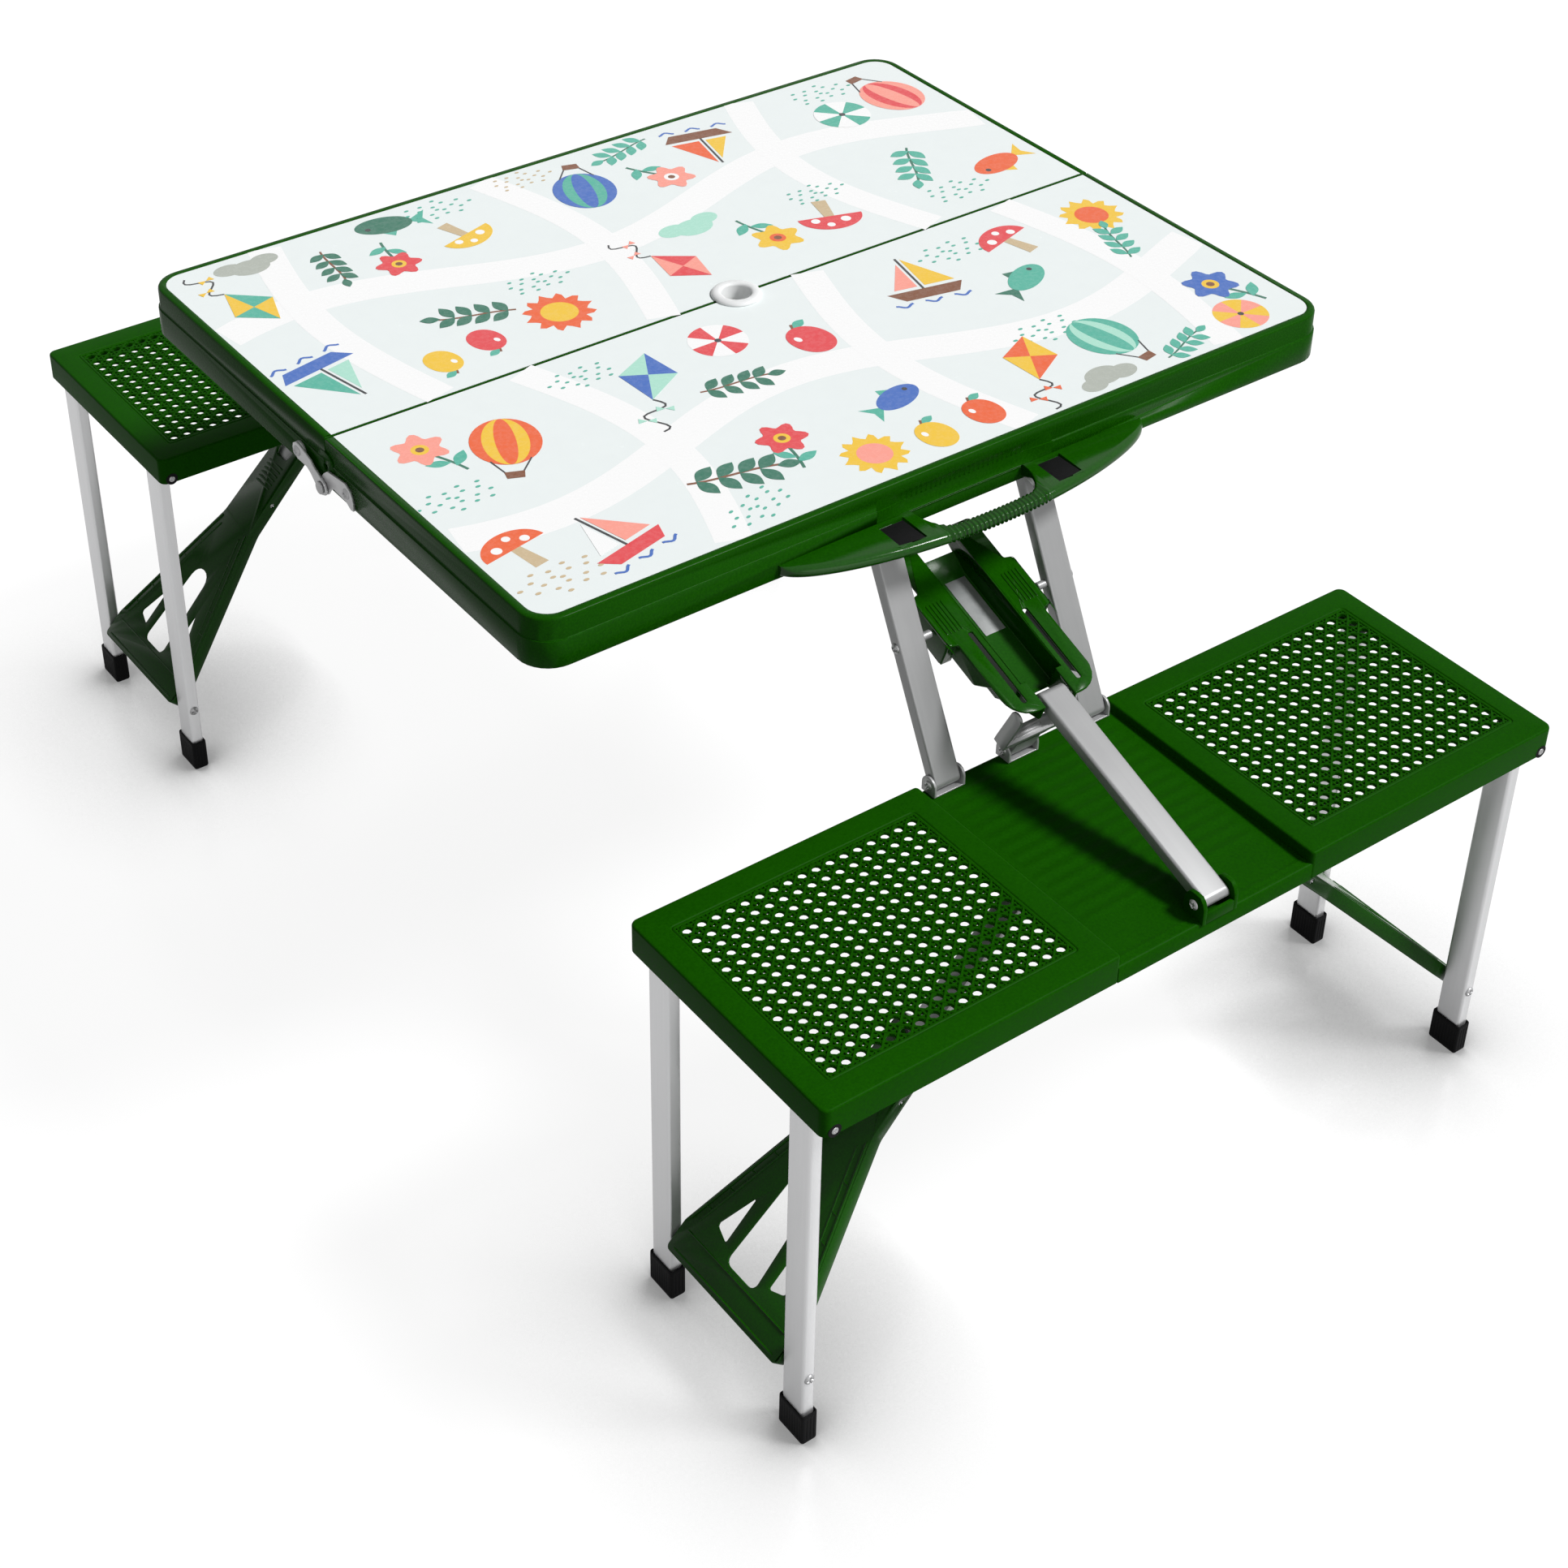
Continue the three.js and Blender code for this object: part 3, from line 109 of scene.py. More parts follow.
def finish(name, constants):
    """New material: a Principled shader with its constant sockets set, and the Object coordinates."""
    material = bpy.data.materials.new(name)
    material.use_nodes = True
    tree = material.node_tree
    shader = tree.nodes["Principled BSDF"]
    for socket, value in constants.items():
        shader.inputs[socket].default_value = value
    spot = Socket(tree, tree.nodes.new("ShaderNodeTexCoord").outputs["Object"])
    return material, shader, spot


def green_moulding(name, shine, gloss, grain):
    """Deep green plastic: the tone drifts over centimetres, and the mould's fine grain roughens and lifts it."""
    material, shader, spot = finish(name, {"Specular IOR Level": shine})
    drift = spot.node("ShaderNodeTexNoise", {}, {"Vector": spot, "Scale": 16.0, "Detail": 2.0})
    speck = spot.node("ShaderNodeTexNoise", {}, {"Vector": spot, "Scale": 520.0, "Detail": 2.0})
    tone = drift * 0.4 + (speck - 0.5) * 1.3 + 0.3
    dark = (0.0040, 0.054, 0.0001, 1)
    light = (0.0085, 0.088, 0.0002, 1)
    colour = spot.node("ShaderNodeMix", {"data_type": "RGBA"}, {0: tone, 6: dark, 7: light}, 2)
    colour.into(shader, "Base Color")
    (speck * grain + gloss).into(shader, "Roughness")
    relief = {"Strength": 0.5, "Distance": 0.0004 * grain, "Height": speck}
    spot.node("ShaderNodeBump", {}, relief).into(shader, "Normal")
    return material


def eased(node, material, ease, beyond=None):
    """Copy of a solid with its points merged and its triangles paired; a bevel rounds each edge by ease. What
    stands beyond a plane, given by a point and the way out, is cut off and the cut is filled."""
    copy = bmesh.new()
    copy.from_mesh(frame["nodes"][node].data)
    bmesh.ops.remove_doubles(copy, verts=copy.verts, dist=1e-6)
    if beyond:
        whole = copy.verts[:] + copy.edges[:] + copy.faces[:]
        rest = bmesh.ops.bisect_plane(copy, geom=whole, plane_co=beyond[0], plane_no=beyond[1], clear_outer=True)
        rim = [e for e in rest["geom_cut"] if isinstance(e, bmesh.types.BMEdge)]
        bmesh.ops.triangle_fill(copy, edges=rim, use_beauty=True)
    flat = math.radians(1)
    bmesh.ops.join_triangles(copy, faces=copy.faces, angle_face_threshold=flat, angle_shape_threshold=math.pi)
    mesh = bpy.data.meshes.new(node + "_eased")
    copy.to_mesh(mesh)
    copy.free()
    mesh.shade_smooth()
    mesh.materials.append(material)
    made = bpy.data.objects.new(node + "_eased", mesh)
    bpy.context.collection.objects.link(made)
    bevel = made.modifiers.new("rounded_edges", "BEVEL")
    bevel.width = ease / 1000
    bevel.segments = 2
    bevel.limit_method = "ANGLE"
    bevel.angle_limit = math.radians(38)
    bevel.use_clamp_overlap = False
    bevel.harden_normals = True
    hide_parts(node)
    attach(made, frame["nodes"][node]["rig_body"])
    return made


tray_green = green_moulding("tray_green_moulding", 0.03, 0.2, 0.14)
HALVES = (("front", 1), ("back", -1))
TABLE_EDGE = 334.0
for place, sign in HALVES:
    long_wall = ((0, -sign * (TABLE_EDGE + 0.1) / 1000, 0), (0, -sign, 0))
    eased("tray_" + place, tray_green, 0.7, long_wall)

# Top skins: thin white sheets let into the trays and printed in flat inks. The print here is a plain garden
# pattern of bands, flowers, kites, boats and fruit on a pale ground.
SKIN_TOP = 659.6
INK_STEP = 0.012


def ink(red, green, blue):
    """Screen colour of 8-bit levels as light: each level over 255 to the power 2.2."""
    return tuple(np.power(np.array([red, green, blue]) / 255, 2.2)) + (1,)


WHITE = ink(254, 254, 254)
TEAL = ink(72, 178, 155)
PINE = ink(20, 110, 86)
MINT = ink(172, 228, 208)
CORAL = ink(255, 157, 140)
ORANGE = ink(240, 92, 22)
YELLOW = ink(246, 198, 28)
BLUE = ink(50, 102, 190)
RED = ink(230, 57, 65)
BROWN = ink(124, 68, 26)
GREY = ink(176, 182, 172)
BLACK = ink(26, 28, 34)
TAN = ink(206, 182, 142)


def lobed(radius, lobes=0, depth=0.0, middle=(0, 0), stretch=(1, 1), start=0.0, end=1.0):
    """Round outline whose radius swells by depth times cos(lobes x angle), stretched along X and Y."""
    turn = np.linspace(start, end, 41)[:40 if end - start == 1 else 41] * 2 * np.pi
    reach = radius * (1 + depth * np.cos(lobes * turn))
    return np.stack([reach * np.cos(turn) * stretch[0], reach * np.sin(turn) * stretch[1]], 1) + middle


def strip(line, half):
    """Outline of a band: the centre line moved out along its normal by half to one side and to the other."""
    line = np.asarray(line, float)
    along = np.gradient(line, axis=0)
    along /= np.linalg.norm(along, axis=1, keepdims=True)
    out = np.stack([-along[:, 1], along[:, 0]], 1) * half
    return np.vstack([line + out, (line - out)[::-1]])


def leaf(length, width, angle, middle):
    """Pointed leaf: half width follows the sine of the way along, turned by the angle."""
    way = np.linspace(0, 1, 12)
    half = width * np.sin(np.pi * way)
    flat = np.vstack([np.stack([way * length, half], 1), np.stack([way * length, -half], 1)[-2:0:-1]])
    turn = np.array([[math.cos(angle), math.sin(angle)], [-math.sin(angle), math.cos(angle)]])
    return flat @ turn + middle


def flower(petal, heart):
    stem = strip(np.stack([np.sin(np.linspace(0, 2, 9)) * 3, np.linspace(-8, -46, 9)], 1), 1.3)
    leaves = [(leaf(22, 5, 0.5, (1, -36)), TEAL), (leaf(20, 4.5, 2.5, (2, -30)), TEAL)]
    return [(stem, PINE), *leaves, (lobed(19, 6, 0.2), petal), (lobed(7), heart), (lobed(3.4), BROWN)]


def boat(sail, jib, hull):
    body = np.array([[-30, -14], [32, -14], [24, -27], [-20, -27]])
    mast = np.array([[-1, -14], [1, -14], [1, 34], [-1, 34]])
    main = np.array([[3, -10], [28, -10], [3, 32]])
    front = np.array([[-3, -10], [-22, -10], [-3, 26]])
    wave = [(strip(np.stack([x + np.linspace(-7, 7, 9), -33 + 2 * np.cos(np.linspace(0, 6.3, 9))], 1), 1.1), BLUE) for x in (-24, 0, 24)]
    return [(body, hull), (mast, BLACK), (main, sail), (front, jib), *wave]


def balloon(first, second):
    envelope = lobed(27, stretch=(0.92, 1.08))
    bands = [(lobed(27, stretch=(s, 1.08)), c) for s, c in ((0.6, second), (0.27, first))]
    basket = np.array([[-6, -46], [6, -46], [7, -38], [-7, -38]])
    ropes = [(strip([[s * 14, -23], [s * 6, -39]], 0.6), BLACK) for s in (-1, 1)]
    return [(envelope, first), *bands, *ropes, (basket, BROWN)]


def kite(first, second):
    quarter = [[0, 34], [20, 6], [0, -26], [-20, 6]]
    panels = [(np.array([[0, 6], quarter[i], quarter[(i + 1) % 4]]), (first, second)[i % 2]) for i in range(4)]
    way = np.linspace(0, 1, 15)
    tail = strip(np.stack([8 * np.sin(way * 9), -26 - 40 * way], 1), 0.8)
    bows = [
        (np.array([[x, y], [x + side * 6, y - 3], [x + side * 6, y + 3]]), second)
        for x, y in ((7, -38), (-6, -52))
        for side in (-1, 1)
    ]
    return [(tail, BLACK), *panels, *bows]


def toadstool(cap):
    stem = np.array([[-6, -26], [6, -26], [4, 2], [-4, 2]])
    dome = lobed(26, stretch=(1, 0.8), start=0.0, end=0.5)
    spots = [(lobed(r, middle=m), WHITE) for r, m in ((4, (-11, 7)), (3.2, (3, 13)), (3.6, (13, 5)))]
    return [(stem, TAN), (dome, cap), *spots]


def fish(body, fin):
    tail = np.array([[-20, 0], [-38, 13], [-33, 0], [-38, -13]])
    back = np.array([[-8, 11], [8, 10], [-4, 20]])
    return [(tail, fin), (back, fin), (lobed(24, stretch=(1, 0.56)), body), (lobed(2.4, middle=(14, 3)), BLACK)]


def fruit(skin):
    stalk = strip([[0, 16], [2, 22], [5, 27]], 1.2)
    return [(stalk, BROWN), (leaf(16, 4.5, 0.25, (3, 22)), TEAL), (lobed(20, 2, -0.1), skin), (lobed(4, middle=(-8, 7), stretch=(0.7, 1)), WHITE)]


def sun(rays, disc):
    return [(lobed(24, 12, 0.17), rays), (lobed(14), disc)]


def cloud(tone):
    puffs = ((-18, -2, 12), (0, 5, 17), (19, -1, 13))
    return [(lobed(r, middle=(x, y), stretch=(1.15, 0.8)), tone) for x, y, r in puffs]


def parasol(first, second):
    edges = np.linspace(0, 1, 9)
    wedges = [(np.vstack([[[0, 0]], lobed(26, start=a, end=b)]), (first, second)[i % 2]) for i, (a, b) in enumerate(zip(edges[:-1], edges[1:]))]
    return [*wedges, (lobed(3), BLACK)]


def sprig(tone, vein):
    stem = strip(np.stack([np.linspace(-30, 30, 13), 5 * np.sin(np.linspace(-1.5, 1.5, 13))], 1), 1.0)
    spread = [(leaf(19, 5, s * 0.9, (x, 0.15 * x)), tone) for x in (-24, -10, 4, 17) for s in (-1, 1)]
    return [(stem, vein), *spread, (leaf(16, 4.5, 0.1, (28, 4)), tone)]


def specks(tone):
    turn = np.arange(19) * 2.4
    reach = 4.6 * np.sqrt(np.arange(19))
    return [(lobed(1.5, middle=(r * math.cos(t) * 1.5, r * math.sin(t) * 0.8), stretch=(1.3, 0.8)), tone) for r, t in zip(reach, turn)]


def pair(first, second, apart):
    return [(o * 0.8 - (apart, 0), c) for o, c in first] + [(o * 0.8 + (apart, 0), c) for o, c in second]


def bands(sign):
    """White bands of one half: a wave along the seam side and two that run out to the long edge."""
    way = np.linspace(0, 1, 41)
    along = np.stack([-419 + 838 * way, -176 - 34 * np.sin(way * 9.4 + 0.6 * sign)], 1)
    lines = [(strip(along, 19), WHITE)]
    for x, lean in ((-236, 40), (78, -34), (312, 26)):
        across = np.stack([x + lean * np.sin(way * 3.1), -4 - 319 * way], 1)
        lines.append((strip(across, 16), WHITE))
    return lines


GARDEN = {
    "front": (
        (flower(CORAL, YELLOW), -372, -62, 0.3, 0.9), (balloon(ORANGE, YELLOW), -306, -92, -0.4, 1.0),
        (specks(TEAL), -384, -142, 0, 1.0), (kite(BLUE, MINT), -150, -78, -0.5, 1.05), (sprig(PINE, BROWN), -92, -126, -0.3, 0.9),
        (specks(TEAL), -196, -40, 0, 0.9), (parasol(RED, WHITE), -62, -58, 0, 0.85), (fruit(RED), 8, -104, 0.2, 0.9),
        (boat(YELLOW, CORAL, BROWN), 152, -72, -0.2, 1.0), (fish(TEAL, PINE), 240, -128, 0.5, 0.9), (specks(TEAL), 214, -48, 0, 1.0),
        (toadstool(RED), 272, -62, 0.3, 0.95), (sun(YELLOW, ORANGE), 372, -70, 0, 0.95), (sprig(TEAL, PINE), 356, -126, 1.1, 0.8),
        (toadstool(ORANGE), -384, -232, 0.2, 0.95), (boat(CORAL, WHITE, RED), -312, -262, 0.25, 0.95), (specks(TAN), -374, -286, 0, 1.1),
        (sprig(PINE, BROWN), -178, -244, -0.4, 1.1), (sun(YELLOW, CORAL), -62, -286, 0, 0.9), (flower(RED, YELLOW), -112, -222, -0.3, 0.85),
        (specks(TEAL), -190, -294, 0.4, 1.0), (pair(fruit(YELLOW), fruit(ORANGE), 24), 28, -290, 0.1, 0.95), (fish(BLUE, TEAL), 10, -226, 0.3, 0.85),
        (kite(YELLOW, ORANGE), 146, -246, -0.5, 1.0), (specks(TEAL), 192, -212, 0, 1.0), (balloon(TEAL, MINT), 226, -250, 0.2, 0.95),
        (cloud(GREY), 182, -306, 0.1, 0.8), (flower(BLUE, YELLOW), 372, -236, 0.4, 0.95), (parasol(CORAL, YELLOW), 357, -292, 0, 0.8),
        (sprig(TEAL, PINE), 276, -302, 0.2, 0.75),
    ),
    "back": (
        (fish(ORANGE, YELLOW), -366, -66, 0.2, 0.95), (sprig(TEAL, PINE), -296, -112, 0.9, 0.95), (specks(TEAL), -300, -44, 0, 1.0),
        (toadstool(RED), -162, -72, -0.3, 1.0), (flower(YELLOW, ORANGE), -96, -66, 0.2, 0.9), (specks(TEAL), -180, -118, 0, 0.9),
        (cloud(MINT), -42, -134, 0.1, 0.85), (kite(RED, CORAL), 12, -78, 0.4, 0.9), (sun(ORANGE, YELLOW), 150, -66, 0, 1.0),
        (sprig(PINE, BROWN), 214, -104, -0.5, 0.95), (pair(fruit(RED), fruit(YELLOW), 23), 256, -56, 0.2, 0.9), (specks(TEAL), 136, -124, 0, 0.9),
        (boat(TEAL, MINT, BLUE), 372, -84, 0.2, 1.0), (balloon(CORAL, RED), -376, -246, 0.2, 1.0), (specks(TEAL), -318, -292, 0, 1.0),
        (parasol(TEAL, WHITE), -306, -240, 0, 0.9), (boat(ORANGE, YELLOW, BROWN), -152, -262, -0.2, 0.95), (flower(CORAL, WHITE), -84, -226, 0.5, 0.85),
        (sprig(TEAL, PINE), -78, -301, 0.1, 0.85), (balloon(BLUE, TEAL), 2, -250, -0.3, 1.0), (specks(TAN), 40, -304, 0, 0.9),
        (toadstool(YELLOW), 144, -240, 0.3, 0.9), (fish(PINE, TEAL), 198, -300, -0.2, 0.95), (flower(RED, YELLOW), 224, -226, -0.2, 0.8),
        (specks(TEAL), 140, -298, 0, 1.0), (kite(TEAL, YELLOW), 374, -238, 0.3, 0.95), (cloud(GREY), 340, -304, 0, 0.8),
        (sprig(PINE, BROWN), 276, -258, 1.3, 0.8),
    ),
}

laminate, shader, spot = finish("white_printed_sheet", {"Specular IOR Level": 0.25})
mottle = spot.node("ShaderNodeTexNoise", {}, {"Vector": spot, "Scale": 60.0, "Detail": 3.0})
pale = {0: mottle, 6: (0.848, 0.900, 0.896, 1), 7: (0.875, 0.928, 0.924, 1)}
spot.node("ShaderNodeMix", {"data_type": "RGBA"}, pale, 2).into(shader, "Base Color")
(mottle * 0.1 + 0.2).into(shader, "Roughness")
spot.node("ShaderNodeBump", {}, {"Strength": 0.15, "Distance": 0.0001, "Height": mottle}).into(shader, "Normal")

printed, shader, spot = finish("printed_ink", {"Specular IOR Level": 0.2})
tone = spot.node("ShaderNodeAttribute", {"attribute_name": "ink"}, {})
press = spot.node("ShaderNodeTexNoise", {}, {"Vector": spot, "Scale": 260.0, "Detail": 2.0})
lighter = {0: press * 0.14, 6: tone, 7: (0.9, 0.9, 0.9, 1)}
spot.node("ShaderNodeMix", {"data_type": "RGBA"}, lighter, 2).into(shader, "Base Color")
(press * 0.1 + 0.22).into(shader, "Roughness")

for place, sign in HALVES:
    shapes = [(outline, colour, level) for level, (outline, colour) in enumerate(bands(sign))]
    for count, (motif, x, y, angle, size) in enumerate(GARDEN[place]):
        turn = np.array([[math.cos(angle), math.sin(angle)], [-math.sin(angle), math.cos(angle)]]) * size * 1.25
        base = 4 + 12 * (count % 2)
        shapes += [(o @ turn + (x, y), c, base + min(level, 11)) for level, (o, c) in enumerate(motif)]
    points = []
    faces = []
    colours = []
    for outline, colour, level in shapes:
        ahead = np.roll(outline, -1, axis=0)
        if np.sum(outline[:, 0] * ahead[:, 1] - outline[:, 1] * ahead[:, 0]) < 0:
            outline = outline[::-1]
        height = np.full((len(outline), 1), SKIN_TOP + 0.02 + INK_STEP * level)
        faces.append(list(range(len(points), len(points) + len(outline))))
        points += np.hstack([np.clip(outline * sign, -420, 420), height]).tolist()
        colours += [colour] * len(outline)
    mesh = bpy.data.meshes.new("top_print_" + place)
    mesh.from_pydata((np.array(points) / 1000).tolist(), [], faces)
    layer = mesh.color_attributes.new("ink", "FLOAT_COLOR", "CORNER")
    layer.data.foreach_set("color", np.array(colours, np.float32).ravel())
    mesh.materials.append(printed)
    sheet = bpy.data.objects.new("top_print_" + place, mesh)
    bpy.context.collection.objects.link(sheet)
    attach(sheet, "table_" + place)
    skin = frame["nodes"]["top_skin_" + place]
    skin.data.materials.clear()
    skin.data.materials.append(laminate)

# Parasol ring: a turned white plastic collar set over the seam, with a domed rim and a stem down the hole.
# It is held in the front tray, and the back half closes round it.
RING = ((13.75, 639.9), (16.0, 639.9), (16.0, 659.9), (23.2, 659.9), (23.5, 660.4), (23.3, 661.3), (22.6, 662.2),
        (21.4, 663.0), (19.8, 663.5), (18.0, 663.6), (16.2, 663.4), (14.9, 662.8), (14.1, 662.0), (13.75, 661.0))


def grid(points, round_rows=False, round_columns=True):
    """Shell over a grid of points: one four-sided face between neighbours, closed round where asked."""
    rows, columns = points.shape[:2]
    index = np.arange(rows * columns).reshape(rows, columns)
    if round_rows:
        index = np.vstack([index, index[:1]])
    if round_columns:
        index = np.hstack([index, index[:, :1]])
    quads = np.stack([index[:-1, :-1], index[1:, :-1], index[1:, 1:], index[:-1, 1:]], -1)
    return points.reshape(-1, 3), [quads.reshape(-1, 4)]


def capped(points):
    """Rows of closed rings joined by a grid, the first and the last ring filled with one face each."""
    rows, columns = points.shape[:2]
    shell, faces = grid(points)
    first = np.arange(columns)[None]
    last = first + (rows - 1) * columns
    return shell, faces + [first, last[:, ::-1]]


def outward(part):
    """The same shell turned so that its volume, the sum of p0 . (p1 x p2) over its fans, is positive."""
    points, faces = part
    volume = 0.0
    for block in faces:
        corner = points[block]
        fans = np.cross(corner[:, 1:-1], corner[:, 2:])
        volume += np.einsum("mj,mkj->", corner[:, 0], fans)
    return part if volume > 0 else (points, [block[:, ::-1] for block in faces])


def moved(part, factors=(1, 1, 1), shift=(0, 0, 0)):
    """The shell mirrored or turned by factors of one or minus one, then shifted."""
    return part[0] * np.array(factors) + np.array(shift), part[1]


def turned(profile, steps=48):
    """Profile of radius and height spun round the Z axis: each point runs round a circle."""
    turn = np.arange(steps) / steps * 2 * np.pi
    radius, height = np.array(profile, float).T
    rings = [np.outer(radius, np.cos(turn)), np.outer(radius, np.sin(turn)), np.outer(height, np.ones(steps))]
    return np.stack(rings, -1)


def piece(name, parts, material, body, stands_for=(), sharp=35):
    """One object from shells in millimetres: placed, merged where points meet, smooth up to the sharp angle."""
    points = []
    faces = []
    start = 0
    for shell, blocks in map(outward, parts):
        points.append(shell)
        for block in blocks:
            faces += (block + start).tolist()
        start += len(shell)
    mesh = bpy.data.meshes.new(name)
    mesh.from_pydata((np.vstack(points) / 1000).tolist(), [], faces)
    whole = bmesh.new()
    whole.from_mesh(mesh)
    bmesh.ops.remove_doubles(whole, verts=whole.verts, dist=1e-7)
    whole.to_mesh(mesh)
    whole.free()
    mesh.shade_smooth()
    mesh.set_sharp_from_angle(angle=math.radians(sharp))
    mesh.materials.append(material)
    made = bpy.data.objects.new(name, mesh)
    bpy.context.collection.objects.link(made)
    if stands_for:
        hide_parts(*stands_for)
    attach(made, body)
    return made


white_plastic, shader, spot = finish("white_ring_plastic", {"Specular IOR Level": 0.5})
cast = spot.node("ShaderNodeTexNoise", {}, {"Vector": spot, "Scale": 90.0, "Detail": 3.0})
milk = {0: cast, 6: (0.79, 0.80, 0.80, 1), 7: (0.86, 0.87, 0.87, 1)}
spot.node("ShaderNodeMix", {"data_type": "RGBA"}, milk, 2).into(shader, "Base Color")
(cast * 0.12 + 0.18).into(shader, "Roughness")
spot.node("ShaderNodeBump", {}, {"Strength": 0.2, "Distance": 0.0001, "Height": cast}).into(shader, "Normal")

ring = grid(turned(RING, 72), round_rows=True)
piece("parasol_ring_turned", [ring], white_plastic, "table_front", ("parasol_ring",), 60)

# Seam hinges: pressed aluminium leaves on the end walls, an arm over a plate, that turn on a headed pin at the
# bottom of the seam. Cross-head screws hold them to the trays.
LEAF_FACE = 430.3
LEAF_SHEET = 2.5
ARM = ((-48, 629), (-46.5, 634), (-42, 637), (-36, 636.5), (-17, 631), (-13, 627), (5.5, 618.5), (8, 613),
       (6, 607.5), (0, 605), (-6, 607.5), (-18, 618), (-24, 621), (-40, 621), (-45.5, 624))
PLATE = ((-50, 622), (-46, 631), (-38, 635.5), (-8, 632), (-1, 626.5), (6, 618), (8, 613), (6, 607.5), (0, 605),
         (-6, 607.5), (-11, 615), (-17, 619), (-38, 618), (-46, 613.5), (-50, 614))
PIN_HEAD = ((0.01, 2.6), (2.2, 2.5), (4.2, 2.1), (5.6, 1.1), (6.0, 0.2), (6.0, 0.0))
SCREW_HEAD = ((0.01, 1.0), (0.25, 0.97), (0.5, 0.9), (0.72, 0.75), (0.88, 0.5), (0.97, 0.22), (1.0, 0.0))


def slab(outline, low, high, ease):
    """Plate: a flat outline carried from low to high, drawn in by ease at both faces along its corners' normals."""
    outline = np.asarray(outline, float)
    ahead = np.roll(outline, -1, 0) - outline
    ahead /= np.linalg.norm(ahead, axis=1, keepdims=True)
    behind = np.roll(ahead, 1, 0)
    side = np.stack([-(ahead + behind)[:, 1], (ahead + behind)[:, 0]], 1)
    side /= np.maximum(np.sum(side * side, 1, keepdims=True) / 2, 0.3)
    area = np.sum(outline[:, 0] * np.roll(outline[:, 1], -1) - outline[:, 1] * np.roll(outline[:, 0], -1))
    side *= np.sign(area)
    rows = ((ease, low), (0.3 * ease, low + 0.3 * ease), (0, low + ease), (0, high - ease),
            (0.3 * ease, high - 0.3 * ease), (ease, high))
    rings = [np.hstack([outline + side * inset, np.full((len(outline), 1), level)]) for inset, level in rows]
    return capped(np.stack(rings))


def across(part):
    """Turns a plate drawn in Y and Z, with its thickness last, so that the thickness lies along X."""
    return part[0][:, [2, 0, 1]], part[1]


def screw(radius, rise, place, axis, sign):
    """Pan head on a domed profile, with a cross sunk where the sine of twice the angle is small near the middle."""
    head = turned(np.array(SCREW_HEAD) * (radius, rise), 32)
    reach = np.hypot(head[..., 0], head[..., 1])
    bearing = np.arctan2(head[..., 1], head[..., 0])
    cross = (np.abs(np.sin(2 * bearing)) < 0.45) & (reach < 0.6 * radius) | (reach < 0.27 * radius)
    head[..., 2] -= 0.55 * rise * cross
    head[..., 2] *= sign
    order = {"x": [2, 0, 1], "y": [0, 2, 1], "z": [0, 1, 2]}[axis]
    points, faces = capped(head)
    return points[:, order] + place, faces


def satin_aluminium(name, along, bright, metallic=0.35):
    """Drawn aluminium: faint streaks along the stock, made by noise stretched on one axis, over soft stains."""
    material, shader, spot = finish(name, {"Metallic": metallic, "Specular IOR Level": 0.3})
    lean, size = along
    laid = spot.node("ShaderNodeMapping", {}, {"Vector": spot, "Rotation": (lean, 0, 0)})
    drawn = spot.node("ShaderNodeMapping", {}, {"Vector": laid, "Scale": size})
    streak = spot.node("ShaderNodeTexNoise", {}, {"Vector": drawn, "Scale": 1.0, "Detail": 4.0})
    stain = spot.node("ShaderNodeTexNoise", {}, {"Vector": spot, "Scale": 24.0, "Detail": 3.0})
    tone = streak * 0.6 + stain * 0.4
    metal = {0: tone, 6: (bright * 0.82, bright * 0.825, bright * 0.835, 1), 7: (bright, bright, bright * 1.01, 1)}
    spot.node("ShaderNodeMix", {"data_type": "RGBA"}, metal, 2).into(shader, "Base Color")
    (tone * 0.2 + 0.32).into(shader, "Roughness")
    spot.node("ShaderNodeBump", {}, {"Strength": 0.25, "Distance": 0.00005, "Height": streak}).into(shader, "Normal")
    return material


pressed_aluminium = satin_aluminium("pressed_aluminium", (0, (160, 160, 160)), 0.42)
hinge_aluminium = satin_aluminium("hinge_aluminium", (0, (160, 160, 160)), 0.5, 0.6)
screw_steel = satin_aluminium("plated_screw_steel", (0, (300, 300, 300)), 0.4, 0.6)
for place, sign in HALVES:
    half = (sign, sign, 1)
    face = LEAF_FACE + LEAF_SHEET + 0.3
    inner = moved(across(slab(PLATE, -LEAF_FACE - LEAF_SHEET, -LEAF_FACE, 0.5)), half)
    outer = moved(across(slab(ARM, face, face + LEAF_SHEET, 0.5)), half)
    foot = moved(across(slab(lobed(8, middle=(-40, 629)), LEAF_FACE, face, 0.2)), half)
    body = "table_" + place
    piece("hinge_plate_" + place, [inner], hinge_aluminium, body, ("hinge_leaf_inner_" + place,))
    piece("hinge_arm_" + place, [outer, foot], hinge_aluminium, body, ("hinge_leaf_outer_" + place,))
    eased("hinge_pin_" + place, screw_steel, 0.6)
    heads = [
        moved(screw(5, 2.4, (-LEAF_FACE - LEAF_SHEET, -40, 626.5), "x", -1), half),
        moved(screw(5, 2.4, (face + LEAF_SHEET, -40, 629), "x", 1), half),
    ]
    piece("hinge_screws_" + place, heads, screw_steel, body)

